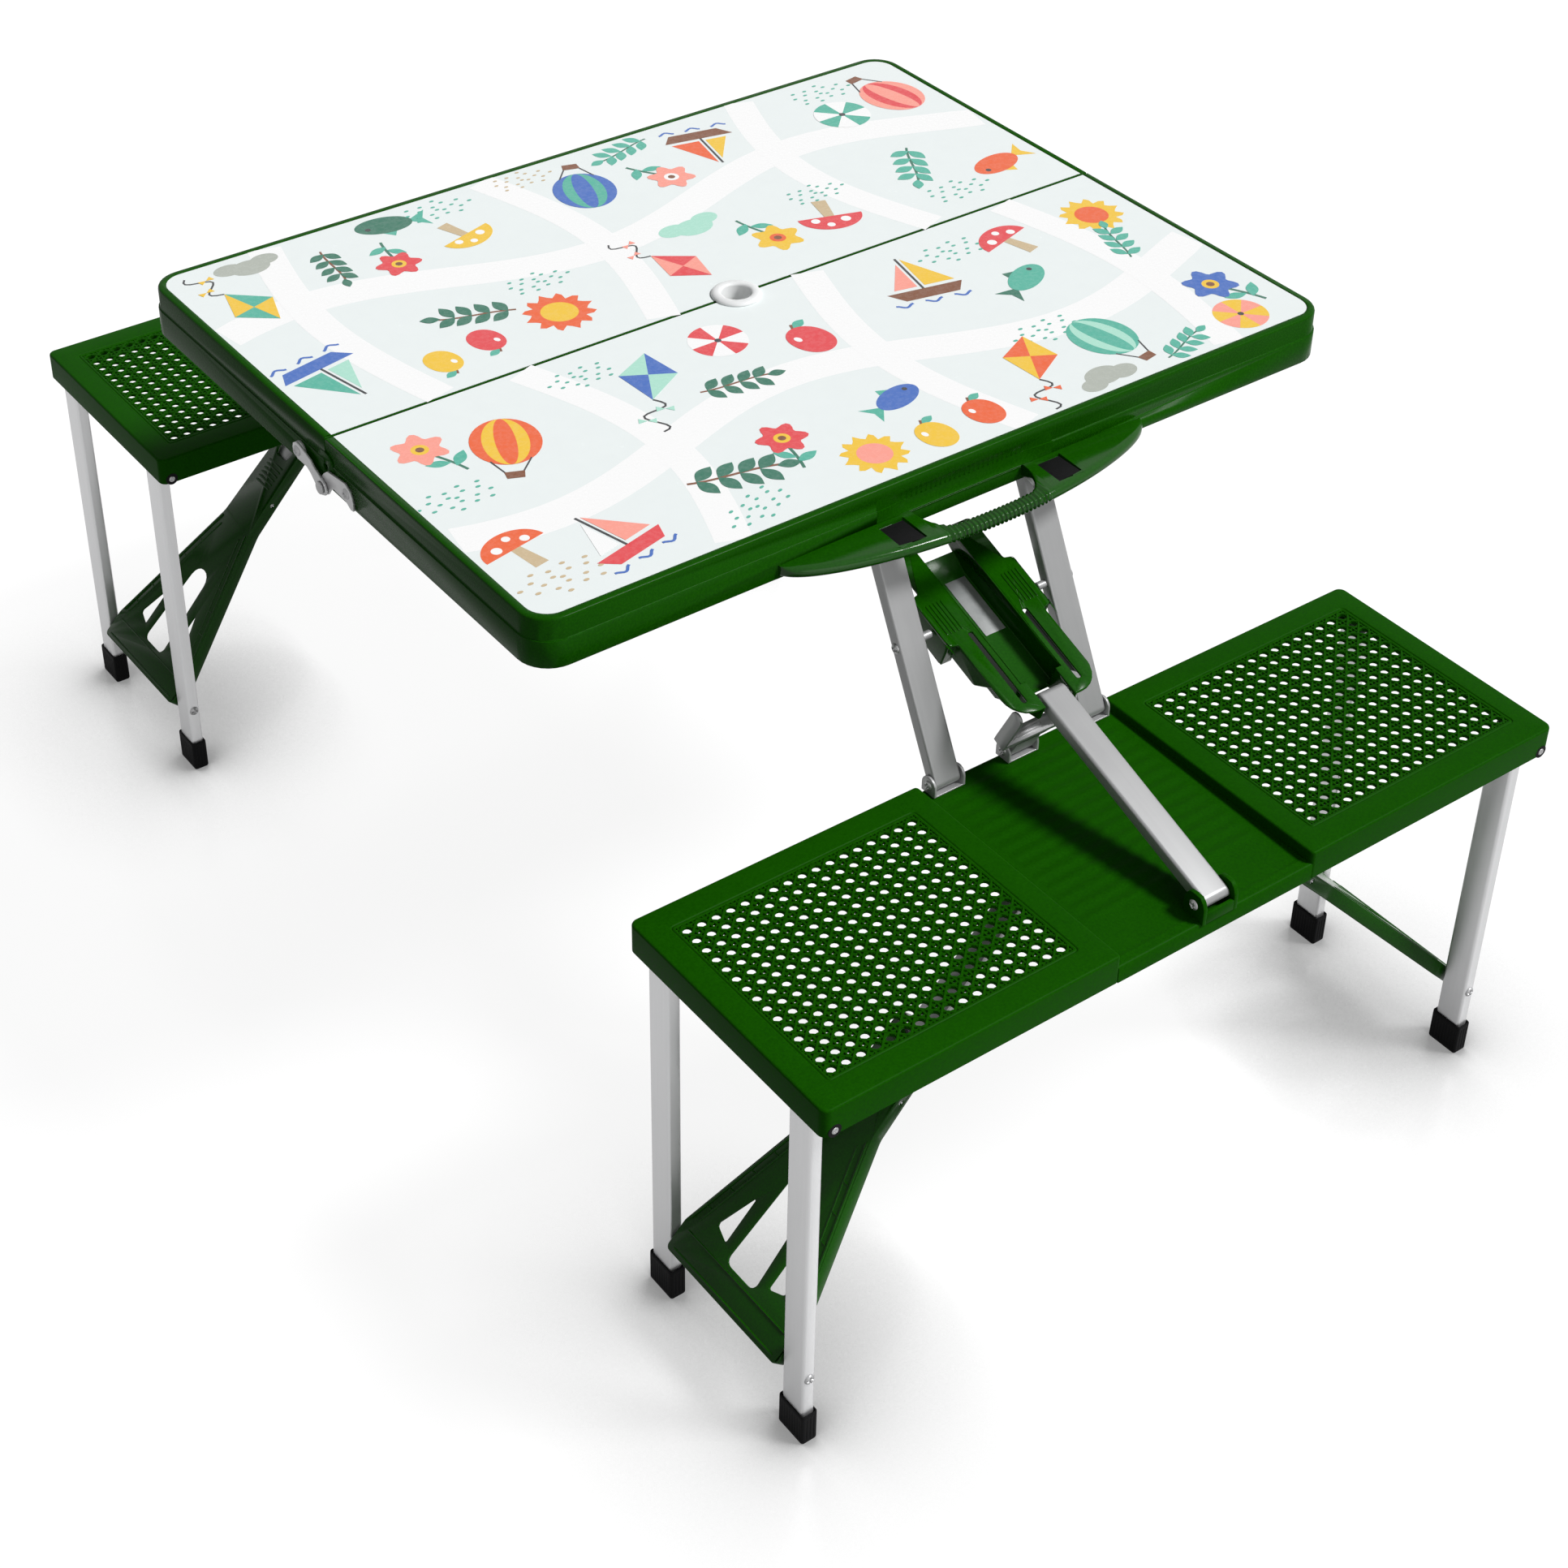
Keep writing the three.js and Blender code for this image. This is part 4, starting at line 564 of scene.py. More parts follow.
# Handles: half-lens plates moulded on the trays, with an oval finger gap behind a grip bar that is ribbed all
# round. Black rubber pads lie in two square pockets beside the gap, and the wall above is scooped for the fingers.
HANDLE_HALF = 198.0
HANDLE_REACH = 50.0
HANDLE_LEVELS = (617.4, 626.6)
GAP_HALF = 62.0
GAP_ROUND = 22.0
GRIP_BAR = 13.5
RIB_PITCH = 4.6
RIB_RISE = 0.75
PAD_X = 86.0
PAD_HALF = (13.4, 16.0)
PAD_Y = -355.4
POCKET = 2.4
SCOOP_HALF = 95.0
SCOOP_LEVEL = 639.0
SCOOP_RADIUS = 30.0
SCOOP_DEPTH = 3.2
SCOOP_FADE = 36.0
UPPER_STEP = 1.5
RIDGE_PITCH = 5.2


def handle_front(x):
    """Front edge of the plate: the reach times a half circle over the length, pulled in a little near the ends."""
    share = np.clip(np.abs(x) / HANDLE_HALF, 0, 1)
    return -TABLE_EDGE - HANDLE_REACH * np.sqrt(1 - share ** 2) * (1 - 0.12 * share ** 2)


def handle():
    """Closed section carried along X from the wall to the front edge. Over the gap its inner side comes out to the
    bar on an ellipse; the ribs are a cosine of X that swells the bar; the pockets are a drop in the top."""
    ends = HANDLE_HALF * np.sin(np.linspace(np.pi / 2, 0.46, 34))
    bar = np.linspace(-GAP_HALF + GAP_ROUND, GAP_HALF - GAP_ROUND, 18 * 8 + 1)
    corner = GAP_HALF - GAP_ROUND * (1 - np.sin(np.linspace(0.06, np.pi / 2, 22)))
    walls = PAD_X + np.array([-1, 1])[:, None] * (PAD_HALF[0] + np.array([0.0, 0.35]))
    right = np.concatenate([corner[:-1], GAP_HALF + np.array([0.02, 2.0, 5.0]), walls.ravel(), ends])
    x = np.unique(np.concatenate([-right, bar, right]).round(4))
    front = handle_front(x)
    lead = np.clip((np.abs(x) - GAP_HALF + GAP_ROUND) / GAP_ROUND, 0, 1)
    shut = np.where(np.abs(x) > GAP_HALF, 1.0, 1 - np.sqrt(1 - np.minimum(lead, 1) ** 2))
    wall = -TABLE_EDGE + 1.2
    inner = (front + GRIP_BAR) * (1 - shut) + wall * shut
    inner = np.maximum(inner, front + 0.6)
    inner = np.where(inner > wall, wall, inner)
    low, high = HANDLE_LEVELS
    bend = np.linspace(0, np.pi / 2, 7)
    depth = np.minimum(7.0, 0.46 * (inner - front))[:, None]
    soft = np.minimum(3.0, 0.4 * (inner - front))[:, None]
    crown = 1.8 * np.clip((inner - front) / 40, 0, 1)[:, None]
    ribbed = np.clip((GAP_HALF - 4 - np.abs(x)) / 6, 0, 1)
    swell = (RIB_RISE * ribbed * np.cos(x / RIB_PITCH * 2 * np.pi))[:, None]
    pocket_y = PAD_Y + PAD_HALF[1] * np.array([1, 1, -1, -1]) + np.array([0.35, 0, 0, -0.35])
    in_pocket = np.abs(np.abs(x) - PAD_X) < PAD_HALF[0] + 0.1
    share = np.linspace(0, 1, 4)[None]
    plain = (inner[:, None] - soft) * (1 - share) + (front[:, None] + depth) * share
    top_y = np.where((np.abs(np.abs(x) - PAD_X) < PAD_HALF[0] + 1)[:, None], pocket_y[None], plain)
    sunk = POCKET * in_pocket[:, None] * np.array([0, 1, 1, 0])
    top_z = high + crown * (1 - ((top_y - wall) / (front[:, None] - wall)) ** 2) - sunk + swell
    first_y = inner[:, None] - soft * (1 - np.cos(bend))
    first_z = top_z[:, :1] - soft * (1 - np.sin(bend))
    edge_y = front[:, None] + depth * (1 - np.sin(bend)) - swell * np.sin(bend)
    edge_z = top_z[:, -1:] - 0.8 * depth * (1 - np.cos(bend))
    under_y = front[:, None] + soft * (1 - np.cos(bend)) - swell * np.cos(bend)
    under_z = low + soft * (1 - np.sin(bend)) - swell * np.sin(bend)
    back_y = inner[:, None] - soft * (1 - np.sin(bend))
    back_z = low + soft * (1 - np.cos(bend))
    y = np.hstack([first_y, top_y, edge_y, under_y, back_y])
    z = np.hstack([first_z, top_z, edge_z, under_z, back_z])
    return capped(np.stack([np.broadcast_to(x[:, None], y.shape), y, z], -1))


def scoop():
    """Lining of the finger scoop: a hollow cylinder in the stepped wall whose depth fades out near both ends by a
    smooth step, with short upright ridges, a squared cosine of X, along its upper half."""
    x = np.linspace(-SCOOP_HALF - 1, SCOOP_HALF + 1, 389)
    z = np.concatenate([np.linspace(627.2, SCOOP_LEVEL, 9), np.linspace(SCOOP_LEVEL + 0.05, 650, 11)])
    step = np.where(z > SCOOP_LEVEL, UPPER_STEP, 0.0)
    hollow = SCOOP_DEPTH - SCOOP_RADIUS + np.sqrt(SCOOP_RADIUS ** 2 - (z - SCOOP_LEVEL) ** 2)
    share = np.clip((SCOOP_HALF - np.abs(x)) / SCOOP_FADE, 0, 1)
    fade = share * share * (3 - 2 * share)
    ridge_along = np.maximum(np.cos(x / RIDGE_PITCH * 2 * np.pi), 0) ** 2 * np.clip((70 - np.abs(x)) / 6, 0, 1)
    ridge_up = np.sqrt(np.clip(1 - ((z - 643.5) / 4.5) ** 2, 0, 1))
    inward = step + np.outer(fade, np.maximum(hollow - step, 0)) - 0.55 * np.outer(ridge_along, ridge_up)
    front = -TABLE_EDGE - 0.06 + inward
    back = -TABLE_EDGE + 0.9 + inward
    y = np.hstack([front, back[:, ::-1]])
    height = np.broadcast_to(np.concatenate([z, z[::-1]]), y.shape)
    return capped(np.stack([np.broadcast_to(x[:, None], y.shape), y, height], -1))


handle_green = green_moulding("handle_green_moulding", 0.2, 0.1, 0.06)
# Black rubber of the handle pads and the foot caps. The same black is also the painted shade of the bolt bores on the
# bench walls.
black_rubber, shader, spot = finish("black_rubber", {"Specular IOR Level": 0.06})
grit = spot.node("ShaderNodeTexNoise", {}, {"Vector": spot, "Scale": 700.0, "Detail": 2.0})
soot = {0: grit, 6: (0.003, 0.003, 0.0033, 1), 7: (0.011, 0.011, 0.0115, 1)}
spot.node("ShaderNodeMix", {"data_type": "RGBA"}, soot, 2).into(shader, "Base Color")
(grit * 0.25 + 0.5).into(shader, "Roughness")
spot.node("ShaderNodeBump", {}, {"Strength": 0.4, "Distance": 0.0002, "Height": grit}).into(shader, "Normal")
for place, sign in HALVES:
    body = "table_" + place
    piece("handle_" + place, [moved(handle(), (sign, sign, 1))], handle_green, body, sharp=50)
    piece("finger_scoop_" + place, [moved(scoop(), (sign, sign, 1))], tray_green, body, sharp=50)
    for side in (-1, 1):
        name = place + ("_left" if side * sign < 0 else "_right")
        u, v = PAD_HALF
        corners = np.array(((-u, -v), (u, -v), (u, v), (-u, v))) * 0.965 + (side * PAD_X, PAD_Y)
        pad = slab(corners, HANDLE_LEVELS[1] - POCKET - 0.3, HANDLE_LEVELS[1] - 0.2, 0.7)
        pad = moved(pad, (sign, sign, 1))
        piece("handle_pad_rubber_" + name, [pad], black_rubber, body, ("handle_pad_" + name,))

# Table legs: flat aluminium tubes, two to a side, hung on a long axle in the tray. A rivet half way down each
# leg carries the brace, with its head on the outer face.
TUBE_HALF_WIDTH = 14.0
TUBE_HALF_THICKNESS = 6.5
TUBE_EDGE = 2.6
LEG_X = 83.0
LEG_TOP = np.array([0, -308.0, 637.0])
LEG_FOOT = np.array([0, -423.0, 408.0])
LEG_RIVET = LEG_FOOT + 0.485 * (LEG_TOP - LEG_FOOT)


def rounded(half_u, half_v, radius, steps=5):
    """Rounded rectangle: quarter circles of the radius about the four corners drawn in by the radius."""
    turn = np.linspace(0, np.pi / 2, steps + 1)
    arcs = [
        np.stack([u * (half_u - radius) + radius * np.cos(turn + lead), v * (half_v - radius) + radius * np.sin(turn + lead)], 1)
        for u, v, lead in ((1, 1, 0), (-1, 1, np.pi / 2), (-1, -1, np.pi), (1, -1, 1.5 * np.pi))
    ]
    return np.vstack(arcs)


def flat_tube(start, end, wide):
    """Rounded rectangle carried from start to end; past each end the thickness falls as a half circle."""
    along = (end - start) / np.linalg.norm(end - start)
    thin = np.cross(along, wide)
    bend = np.linspace(0.06, np.pi / 2, 7)
    length = np.linalg.norm(end - start)
    way = np.concatenate([-TUBE_HALF_THICKNESS * np.cos(bend), length + TUBE_HALF_THICKNESS * np.cos(bend[::-1])])
    thickness = np.concatenate([np.sin(bend), np.sin(bend[::-1])])
    section = rounded(TUBE_HALF_WIDTH, TUBE_HALF_THICKNESS, TUBE_EDGE)
    spine = start + way[:, None] * along
    spread = section[None, :, :1] * wide + section[None, :, 1:] * thickness[:, None, None] * thin
    return capped(spine[:, None, :] + spread)


def pin(radius, start, end, axis):
    """Round bar along one axis with a small chamfer at both ends."""
    edge = 0.15 * radius
    profile = ((radius - edge, start), (radius, start + edge), (radius, end - edge), (radius - edge, end))
    order = {"x": [2, 0, 1], "y": [0, 2, 1], "z": [0, 1, 2]}[axis]
    points, faces = capped(turned(profile, 24))
    return points[:, order], faces


leg_lean = math.atan2(LEG_TOP[1] - LEG_FOOT[1], LEG_TOP[2] - LEG_FOOT[2])
for place, sign in HALVES:
    tube_finish = satin_aluminium("leg_tube_" + place, (sign * leg_lean, (260, 260, 9)), 0.36)
    body = "table_legs_" + place
    for side in (-1, 1):
        name = place + ("_left" if side * sign < 0 else "_right")
        offset = np.array([side * LEG_X, 0, 0])
        tube = flat_tube(LEG_FOOT + offset, LEG_TOP + offset, np.array([1.0, 0, 0]))
        stub = moved(pin(3.8, -LEG_X + 59.5, -TUBE_HALF_WIDTH + 1, "x"), (side, 1, 1), LEG_RIVET + offset)
        parts = [moved(p, (sign, sign, 1)) for p in (tube, stub)]
        piece("leg_tube_" + name, parts, tube_finish, body, ("table_leg_" + name,))
        head = screw(5.0, 2.2, LEG_RIVET + offset + (side * TUBE_HALF_WIDTH, 0, 0), "x", side)
        piece("leg_rivet_" + name, [moved(head, (sign, sign, 1))], screw_steel, body)
    eased("leg_axle_" + place, screw_steel, 0.4)

# Benches: one green moulding each, with two cane-web seats and a lower ribbed deck between them for the
# mechanism. The rim is hollow below so that the end legs fold into it, and two ears hold the diagonal's foot.
SEAT_TOP = 407.0
BENCH_BOTTOM = 378.0
BENCH_EDGES = (-678.0, -416.0)
SEAT_ENDS = (107.0, 405.0)
EDGE_ROUND = 2.4
LEG_PASS = 394.5
HOLE_FIELD = ((140.5, 371.5), (-642.5, -451.5))
HOLE_COUNT = (17, 15)
FIELD_MARGIN = 6.8
STRAND_HALF_WIDTH = 1.1
STRAND_HALF_HEIGHT = 0.85
STRAND_PAIR = 2.15
STRAND_LEVEL = 405.5
HOLE_RADIUS = 3.8
PINHOLE = 1.9
SHEET_LEVELS = (405.0, 403.7)
DECK_SLOPE = ((-678.0, 395.0), (-416.0, 399.0))


def ring_round(x0, x1, y0, y1, near, far, z):
    """Rectangle with quarter-circle corners: radius near at the deck side and far at the outer end. Two more points
    on the deck side mark the way in for the folded legs; below LEG_PASS the edge is lifted to it between them."""
    turn = np.linspace(0, np.pi / 2, 8)
    corners = ((x1, y0, -1, 1, far, -np.pi / 2), (x1, y1, -1, -1, far, 0),
               (x0, y1, 1, -1, near, np.pi / 2), (x0, y0, 1, 1, near, np.pi))
    arcs = [
        np.stack([x + sx * r + r * np.cos(turn + lead), y + sy * r + r * np.sin(turn + lead), np.full(8, z)], 1)
        for x, y, sx, sy, r, lead in corners
    ]
    lifted = max(z, LEG_PASS)
    way_in = np.array([[x0, y1 - 6, lifted], [x0, y0 + 6, lifted]])
    return np.vstack([*arcs[:3], way_in, arcs[3]])


def seat_frame():
    """Closed section carried round the seat: wall, rounded edge, flat border with a groove, and the hollow under it."""
    (x0, x1), (y0, y1) = SEAT_ENDS, BENCH_EDGES
    (u0, u1), (v0, v1) = HOLE_FIELD
    bend = np.linspace(0, np.pi / 2, 6)
    outside = [(0.8, BENCH_BOTTOM), (0, BENCH_BOTTOM + 0.8)]
    outside += list(zip(EDGE_ROUND * (1 - np.cos(bend)), SEAT_TOP - EDGE_ROUND + EDGE_ROUND * np.sin(bend)))
    rings = [ring_round(x0 + i, x1 - i, y0 + i, y1 - i, max(4 - i, 0.2), 8 - min(i, 6), z) for i, z in outside]
    border = ((5.2, 407.0), (4.2, 406.95), (3.7, 406.4), (3.1, 406.15), (2.5, 406.4), (2.0, 406.9), (0.9, 406.9),
              (0.2, 406.6), (0.0, 406.0), (0.0, 404.0))
    for e, z in border:
        g = FIELD_MARGIN + e
        rings.append(ring_round(u0 - g, u1 + g, v0 - g, v1 + g, e + 0.5, e + 0.5, z))
    for i, z in ((3.0, 404.0), (3.0, BENCH_BOTTOM + 0.5), (2.2, BENCH_BOTTOM)):
        rings.append(ring_round(x0 + i, x1 - i, y0 + i, y1 - i, 1.0, 5.0, z))
    return grid(np.stack(rings), round_rows=True)


def strand(line):
    """Flattened six-sided bar that follows a line of points, its width square to the line in plan."""
    along = np.gradient(line, axis=0)[:, :2]
    along /= np.linalg.norm(along, axis=1, keepdims=True)
    aside = np.stack([-along[:, 1], along[:, 0], np.zeros(len(line))], 1)
    section = np.array([[1, 0], [0.55, 1], [-0.55, 1], [-1, 0], [-0.55, -1], [0.55, -1]]) * (STRAND_HALF_WIDTH, STRAND_HALF_HEIGHT)
    rings = line[:, None] + section[None, :, :1] * aside[:, None] + section[None, :, 1:] * np.array([0, 0, 1.0])
    return capped(rings)


def cane_web():
    """Woven web: pairs of strands along X and Y between the holes, and diagonals that pass beside each hole."""
    (u0, u1), (v0, v1) = HOLE_FIELD
    columns, rows = HOLE_COUNT
    pitch_x = (u1 - u0) / (columns - 1)
    pitch_y = (v1 - v0) / (rows - 1)
    low = np.array([u0, v0]) - FIELD_MARGIN - 1
    high = np.array([u1, v1]) + FIELD_MARGIN + 1
    strands = []
    for k in range(columns + 1):
        for s in (-1, 1):
            x = u0 + (k - 0.5) * pitch_x + s * STRAND_PAIR
            y = np.concatenate([[low[1]], v0 + (np.arange(2 * rows - 1) - 0.0) * pitch_y / 2, [high[1]]])
            wave = 0.3 * np.cos(np.arange(len(y)) * np.pi)
            if low[0] < x < high[0]:
                strands.append(strand(np.stack([np.full_like(y, x), y, STRAND_LEVEL + wave], 1)))
    for k in range(rows + 1):
        for s in (-1, 1):
            y = v0 + (k - 0.5) * pitch_y + s * STRAND_PAIR
            x = np.concatenate([[low[0]], u0 + np.arange(2 * columns - 1) * pitch_x / 2, [high[0]]])
            wave = -0.3 * np.cos(np.arange(len(x)) * np.pi)
            if low[1] < y < high[1]:
                strands.append(strand(np.stack([x, np.full_like(x, y), STRAND_LEVEL + wave], 1)))
    for k in range(-rows - 1, columns + 1):
        for lean in (1, -1):
            step = np.arange(-2, 2 * columns + 3)
            x = u0 + step * pitch_x / 2
            base = v0 if lean > 0 else v1
            y = base + lean * (step / 2 - k - 0.5) * pitch_y
            inside = (x > low[0]) & (x < high[0]) & (y > low[1]) & (y < high[1])
            wave = STRAND_LEVEL + 0.45 + 0.3 * lean * np.cos(step * np.pi)
            if inside.sum() > 1:
                strands.append(strand(np.stack([x, y, wave], 1)[inside]))
    return strands


def cane_sheet():
    """Flat web under the strands: a cell to each hole, its outer ring a square with cut corners, its inner ring
    the hole; upper and lower rings are joined by walls in the holes, at the cut corners and at the outer edge."""
    (u0, u1), (v0, v1) = HOLE_FIELD
    columns, rows = HOLE_COUNT
    half = np.array([(u1 - u0) / (columns - 1), (v1 - v0) / (rows - 1)]) / 2
    turn = np.arange(12) * np.pi / 6
    way = np.stack([np.cos(turn), np.sin(turn)], 1)
    edge = np.where(np.abs(way) > 0.8, np.sign(way), np.where(np.abs(way) > 0.3, np.sign(way), 0))
    drawn = np.where((np.abs(way) > 0.3) & (np.abs(way) < 0.8), PINHOLE, 0.0)
    outer = edge * (half - drawn)
    rings = np.stack([outer, HOLE_RADIUS * way, HOLE_RADIUS * way, outer])
    levels = np.array(SHEET_LEVELS)[[0, 0, 1, 1]]
    centre = np.stack(np.meshgrid(np.linspace(u0, u1, columns), np.linspace(v0, v1, rows)), -1).reshape(-1, 1, 1, 2)
    flat = centre + rings
    points = np.concatenate([flat, np.broadcast_to(levels[None, :, None, None], flat.shape[:3] + (1,))], -1)
    index = np.arange(4 * 12).reshape(4, 12)
    ahead = np.roll(index, -1, 1)
    quads = np.stack([index, np.roll(index, -1, 0), np.roll(ahead, -1, 0), ahead], -1)
    cells = np.arange(columns * rows)
    column, row = cells % columns, cells // columns
    inner = quads[:3].reshape(-1, 4)[None] + 48 * cells[:, None, None]
    faces = [inner.reshape(-1, 4), (quads[3, [1, 4, 7, 10]][None] + 48 * cells[:, None, None]).reshape(-1, 4)]
    sides = ((column == columns - 1, (11, 0)), (row == rows - 1, (2, 3)), (column == 0, (5, 6)), (row == 0, (8, 9)))
    for at_edge, steps in sides:
        wall = quads[3, list(steps)][None] + 48 * cells[at_edge][:, None, None]
        faces.append(wall.reshape(-1, 4))
    return points.reshape(-1, 3), faces


def deck():
    """Deck section carried along X: sloping top with rounded edges, ribs as a cosine of Y that fade near the ends."""
    (y0, z0), (y1, z1) = DECK_SLOPE
    bend = np.linspace(0, np.pi / 2, 5)[1:]
    y = np.linspace(y0 + 3, y1 - 3, 150)
    level = z0 + (z1 - z0) * (y - y0) / (y1 - y0)
    ribbed = np.clip((y + 628) / 8, 0, 1) * np.clip((-430 - y) / 8, 0, 1)
    rib = 0.95 * ribbed * (0.5 - 0.5 * np.cos((y + 628) / 15.2 * 2 * np.pi))
    lip = 0.8 * np.clip(1 - np.abs(y + 669) / 2.5, 0, 1)
    outer = [(y0 + 3 - 3 * np.cos(b), z0 - 3 + 3 * np.sin(b)) for b in bend[:-1]]
    inner = [(y1 - 3 + 3 * np.sin(b), z1 - 3 + 3 * np.cos(b)) for b in bend[:-1]]
    below = [(y1, BENCH_BOTTOM), (y1 - 3, BENCH_BOTTOM), (y1 - 3, 393), (y0 + 3, 391.5), (y0 + 3, BENCH_BOTTOM), (y0, BENCH_BOTTOM)]
    stations = np.array([-108.5, -100, -97, -93, -88, -40, 0, 40, 88, 93, 97, 100, 108.5])
    fade = np.clip((98 - np.abs(stations)) / 10, 0, 1)
    rings = []
    for x, f in zip(stations, fade):
        top = np.stack([y, level + lip + rib * f], 1)
        line = np.vstack([outer, top, inner, below])
        rings.append(np.hstack([np.full((len(line), 1), x), line]))
    return capped(np.stack(rings))


EAR = ((-679.5, 393.5), (-655.5, 393.5), (-655.5, 409), (-657.5, 415), (-661.5, 419.3), (-667.5, 420), (-673.5, 419.3), (-677.5, 415), (-679.5, 409))
LUG = ((-103, 378.7), (-87, 378.7), (-87, 393), (-103, 393))
grained_green = green_moulding("grained_green_moulding", 0.018, 0.28, 0.3)
for place, sign in HALVES:
    parts = []
    for side in (-1, 1):
        seat = [seat_frame(), cane_sheet(), *cane_web()]
        parts += [moved(p, (side, 1, 1)) for p in seat]
        parts.append(moved(across(slab(EAR, 15, 19.5, 0.7)), (side, 1, 1)))
        for y in (-562.6, -534.4):
            lug = slab(LUG, y - 1.5, y + 1.5, 0.3)
            parts.append((lug[0][:, [0, 2, 1]] * (side, 1, 1), lug[1]))
    parts.append(deck())
    guard = slab(((-15.3, 393.5), (15.3, 393.5), (15.3, 403.5), (13, 405), (-13, 405), (-15.3, 403.5)), -679.5, -676.5, 0.6)
    parts.append((guard[0][:, [0, 2, 1]], guard[1]))
    parts = [moved(p, (sign, sign, 1)) for p in parts]
    # Painted shade of the bolt bores: a thin black disc on each long wall, round the end legs' pivot bolt, stands for
    # the shade inside the bore, and the small screw head sits on it.
    bore_shade = []
    for x in (-394, 394):
        for y, edge in ((BENCH_EDGES[0], -1), (BENCH_EDGES[1], 1)):
            points, faces = capped(turned(((0.01, 0.15), (6.3, 0.15), (6.3, -0.4), (0.01, -0.4)), 24))
            bore_shade.append(moved((points[:, [0, 2, 1]] * (1, edge, 1), faces), shift=(x, y, 383)))
    bore_shade = [moved(w, (sign, sign, 1)) for w in bore_shade]
    piece("bench_bolt_wells_" + place, bore_shade, black_rubber, "bench_" + place)
    piece("bench_moulding_" + place, parts, grained_green, "bench_" + place, ("bench_" + place,), 42)

# Clevises: bent aluminium sheet riveted to the deck, two for the table legs and one for the prop, each with a
# cross pin that shows as a screw head on its ears.
for place, sign in HALVES:
    body = "bench_" + place
    for name in ("leg_clevis_" + place + "_left", "leg_clevis_" + place + "_right", "prop_clevis_" + place):
        eased(name, pressed_aluminium, 0.5)
    heads = []
    for x in (-LEG_X, 0, LEG_X):
        for side in (-1, 1):
            heads.append(screw(4.6, 1.9, (x + side * 17.1, LEG_FOOT[1], LEG_FOOT[2]), "x", side))
    heads = [moved(h, (sign, sign, 1)) for h in heads]
    piece("clevis_pin_heads_" + place, heads, screw_steel, body)

# Diagonals: flat tubes from the ears at the bench's outer edge up to the knee in the brace, each end on a pin.
DIAGONAL_FOOT = np.array([0, -668.0, 409.0])
KNEE = np.array([0, -460.77, 484.83])
diagonal_lean = math.atan2(KNEE[1] - DIAGONAL_FOOT[1], KNEE[2] - DIAGONAL_FOOT[2])
for place, sign in HALVES:
    tube_finish = satin_aluminium("diagonal_tube_" + place, (sign * diagonal_lean, (260, 260, 9)), 0.37)
    tube = flat_tube(DIAGONAL_FOOT, KNEE, np.array([1.0, 0, 0]))
    foot_pin = moved(pin(3, -20.1, 20.1, "x"), shift=DIAGONAL_FOOT)
    knee_pin = moved(pin(3, -19.6, 19.6, "x"), shift=KNEE)
    parts = [moved(p, (sign, sign, 1)) for p in (tube, foot_pin, knee_pin)]
    piece("diagonal_tube_" + place, parts, tube_finish, "diagonal_" + place, ("diagonal_" + place,))
    heads = [moved(screw(4.8, 2, DIAGONAL_FOOT + (s * 20.1, 0, 0), "x", s), (sign, sign, 1)) for s in (-1, 1)]
    piece("diagonal_screws_" + place, heads, screw_steel, "diagonal_" + place)

# Braces: green channels that lock the knee, with a long slot in each flange for the prop and ribbed finger wings.
# A blank pale plate lies in the channel.
BRACE_TOP = 6.0
WING_RIBS = ((34, 38, 42, 46, 50), (88, 122))
SLOT_LINER = ((4, 4.2), (84, 4.2), (84, -14), (26, -14))


def on_brace(points):
    """Places points of across, along and above in the brace's own lie: along runs from the knee to the rivets."""
    way = LEG_RIVET - KNEE
    way = way / np.linalg.norm(way)
    above = np.array([0, -way[2], way[1]])
    return points[:, :1] * np.array([1.0, 0, 0]) + points[:, 1:2] * way + points[:, 2:] * above + KNEE


def ridge(x, start, end, half, rise, base):
    """Low half-round rib: its height and width follow a quarter ellipse at both ends."""
    way = np.concatenate([np.linspace(0, 1, 5) ** 2 * half * 2, (end - start) - np.linspace(1, 0, 5) ** 2 * half * 2])
    swell = np.sqrt(np.concatenate([np.linspace(0.02, 1, 5), np.linspace(1, 0.02, 5)]))
    arc = np.linspace(0, np.pi, 7)
    rings = [
        np.stack([x + half * f * np.cos(arc), np.full(7, start + w), base + rise * f * np.sin(arc)], 1)
        for w, f in zip(way, swell)
    ]
    return capped(np.stack(rings))


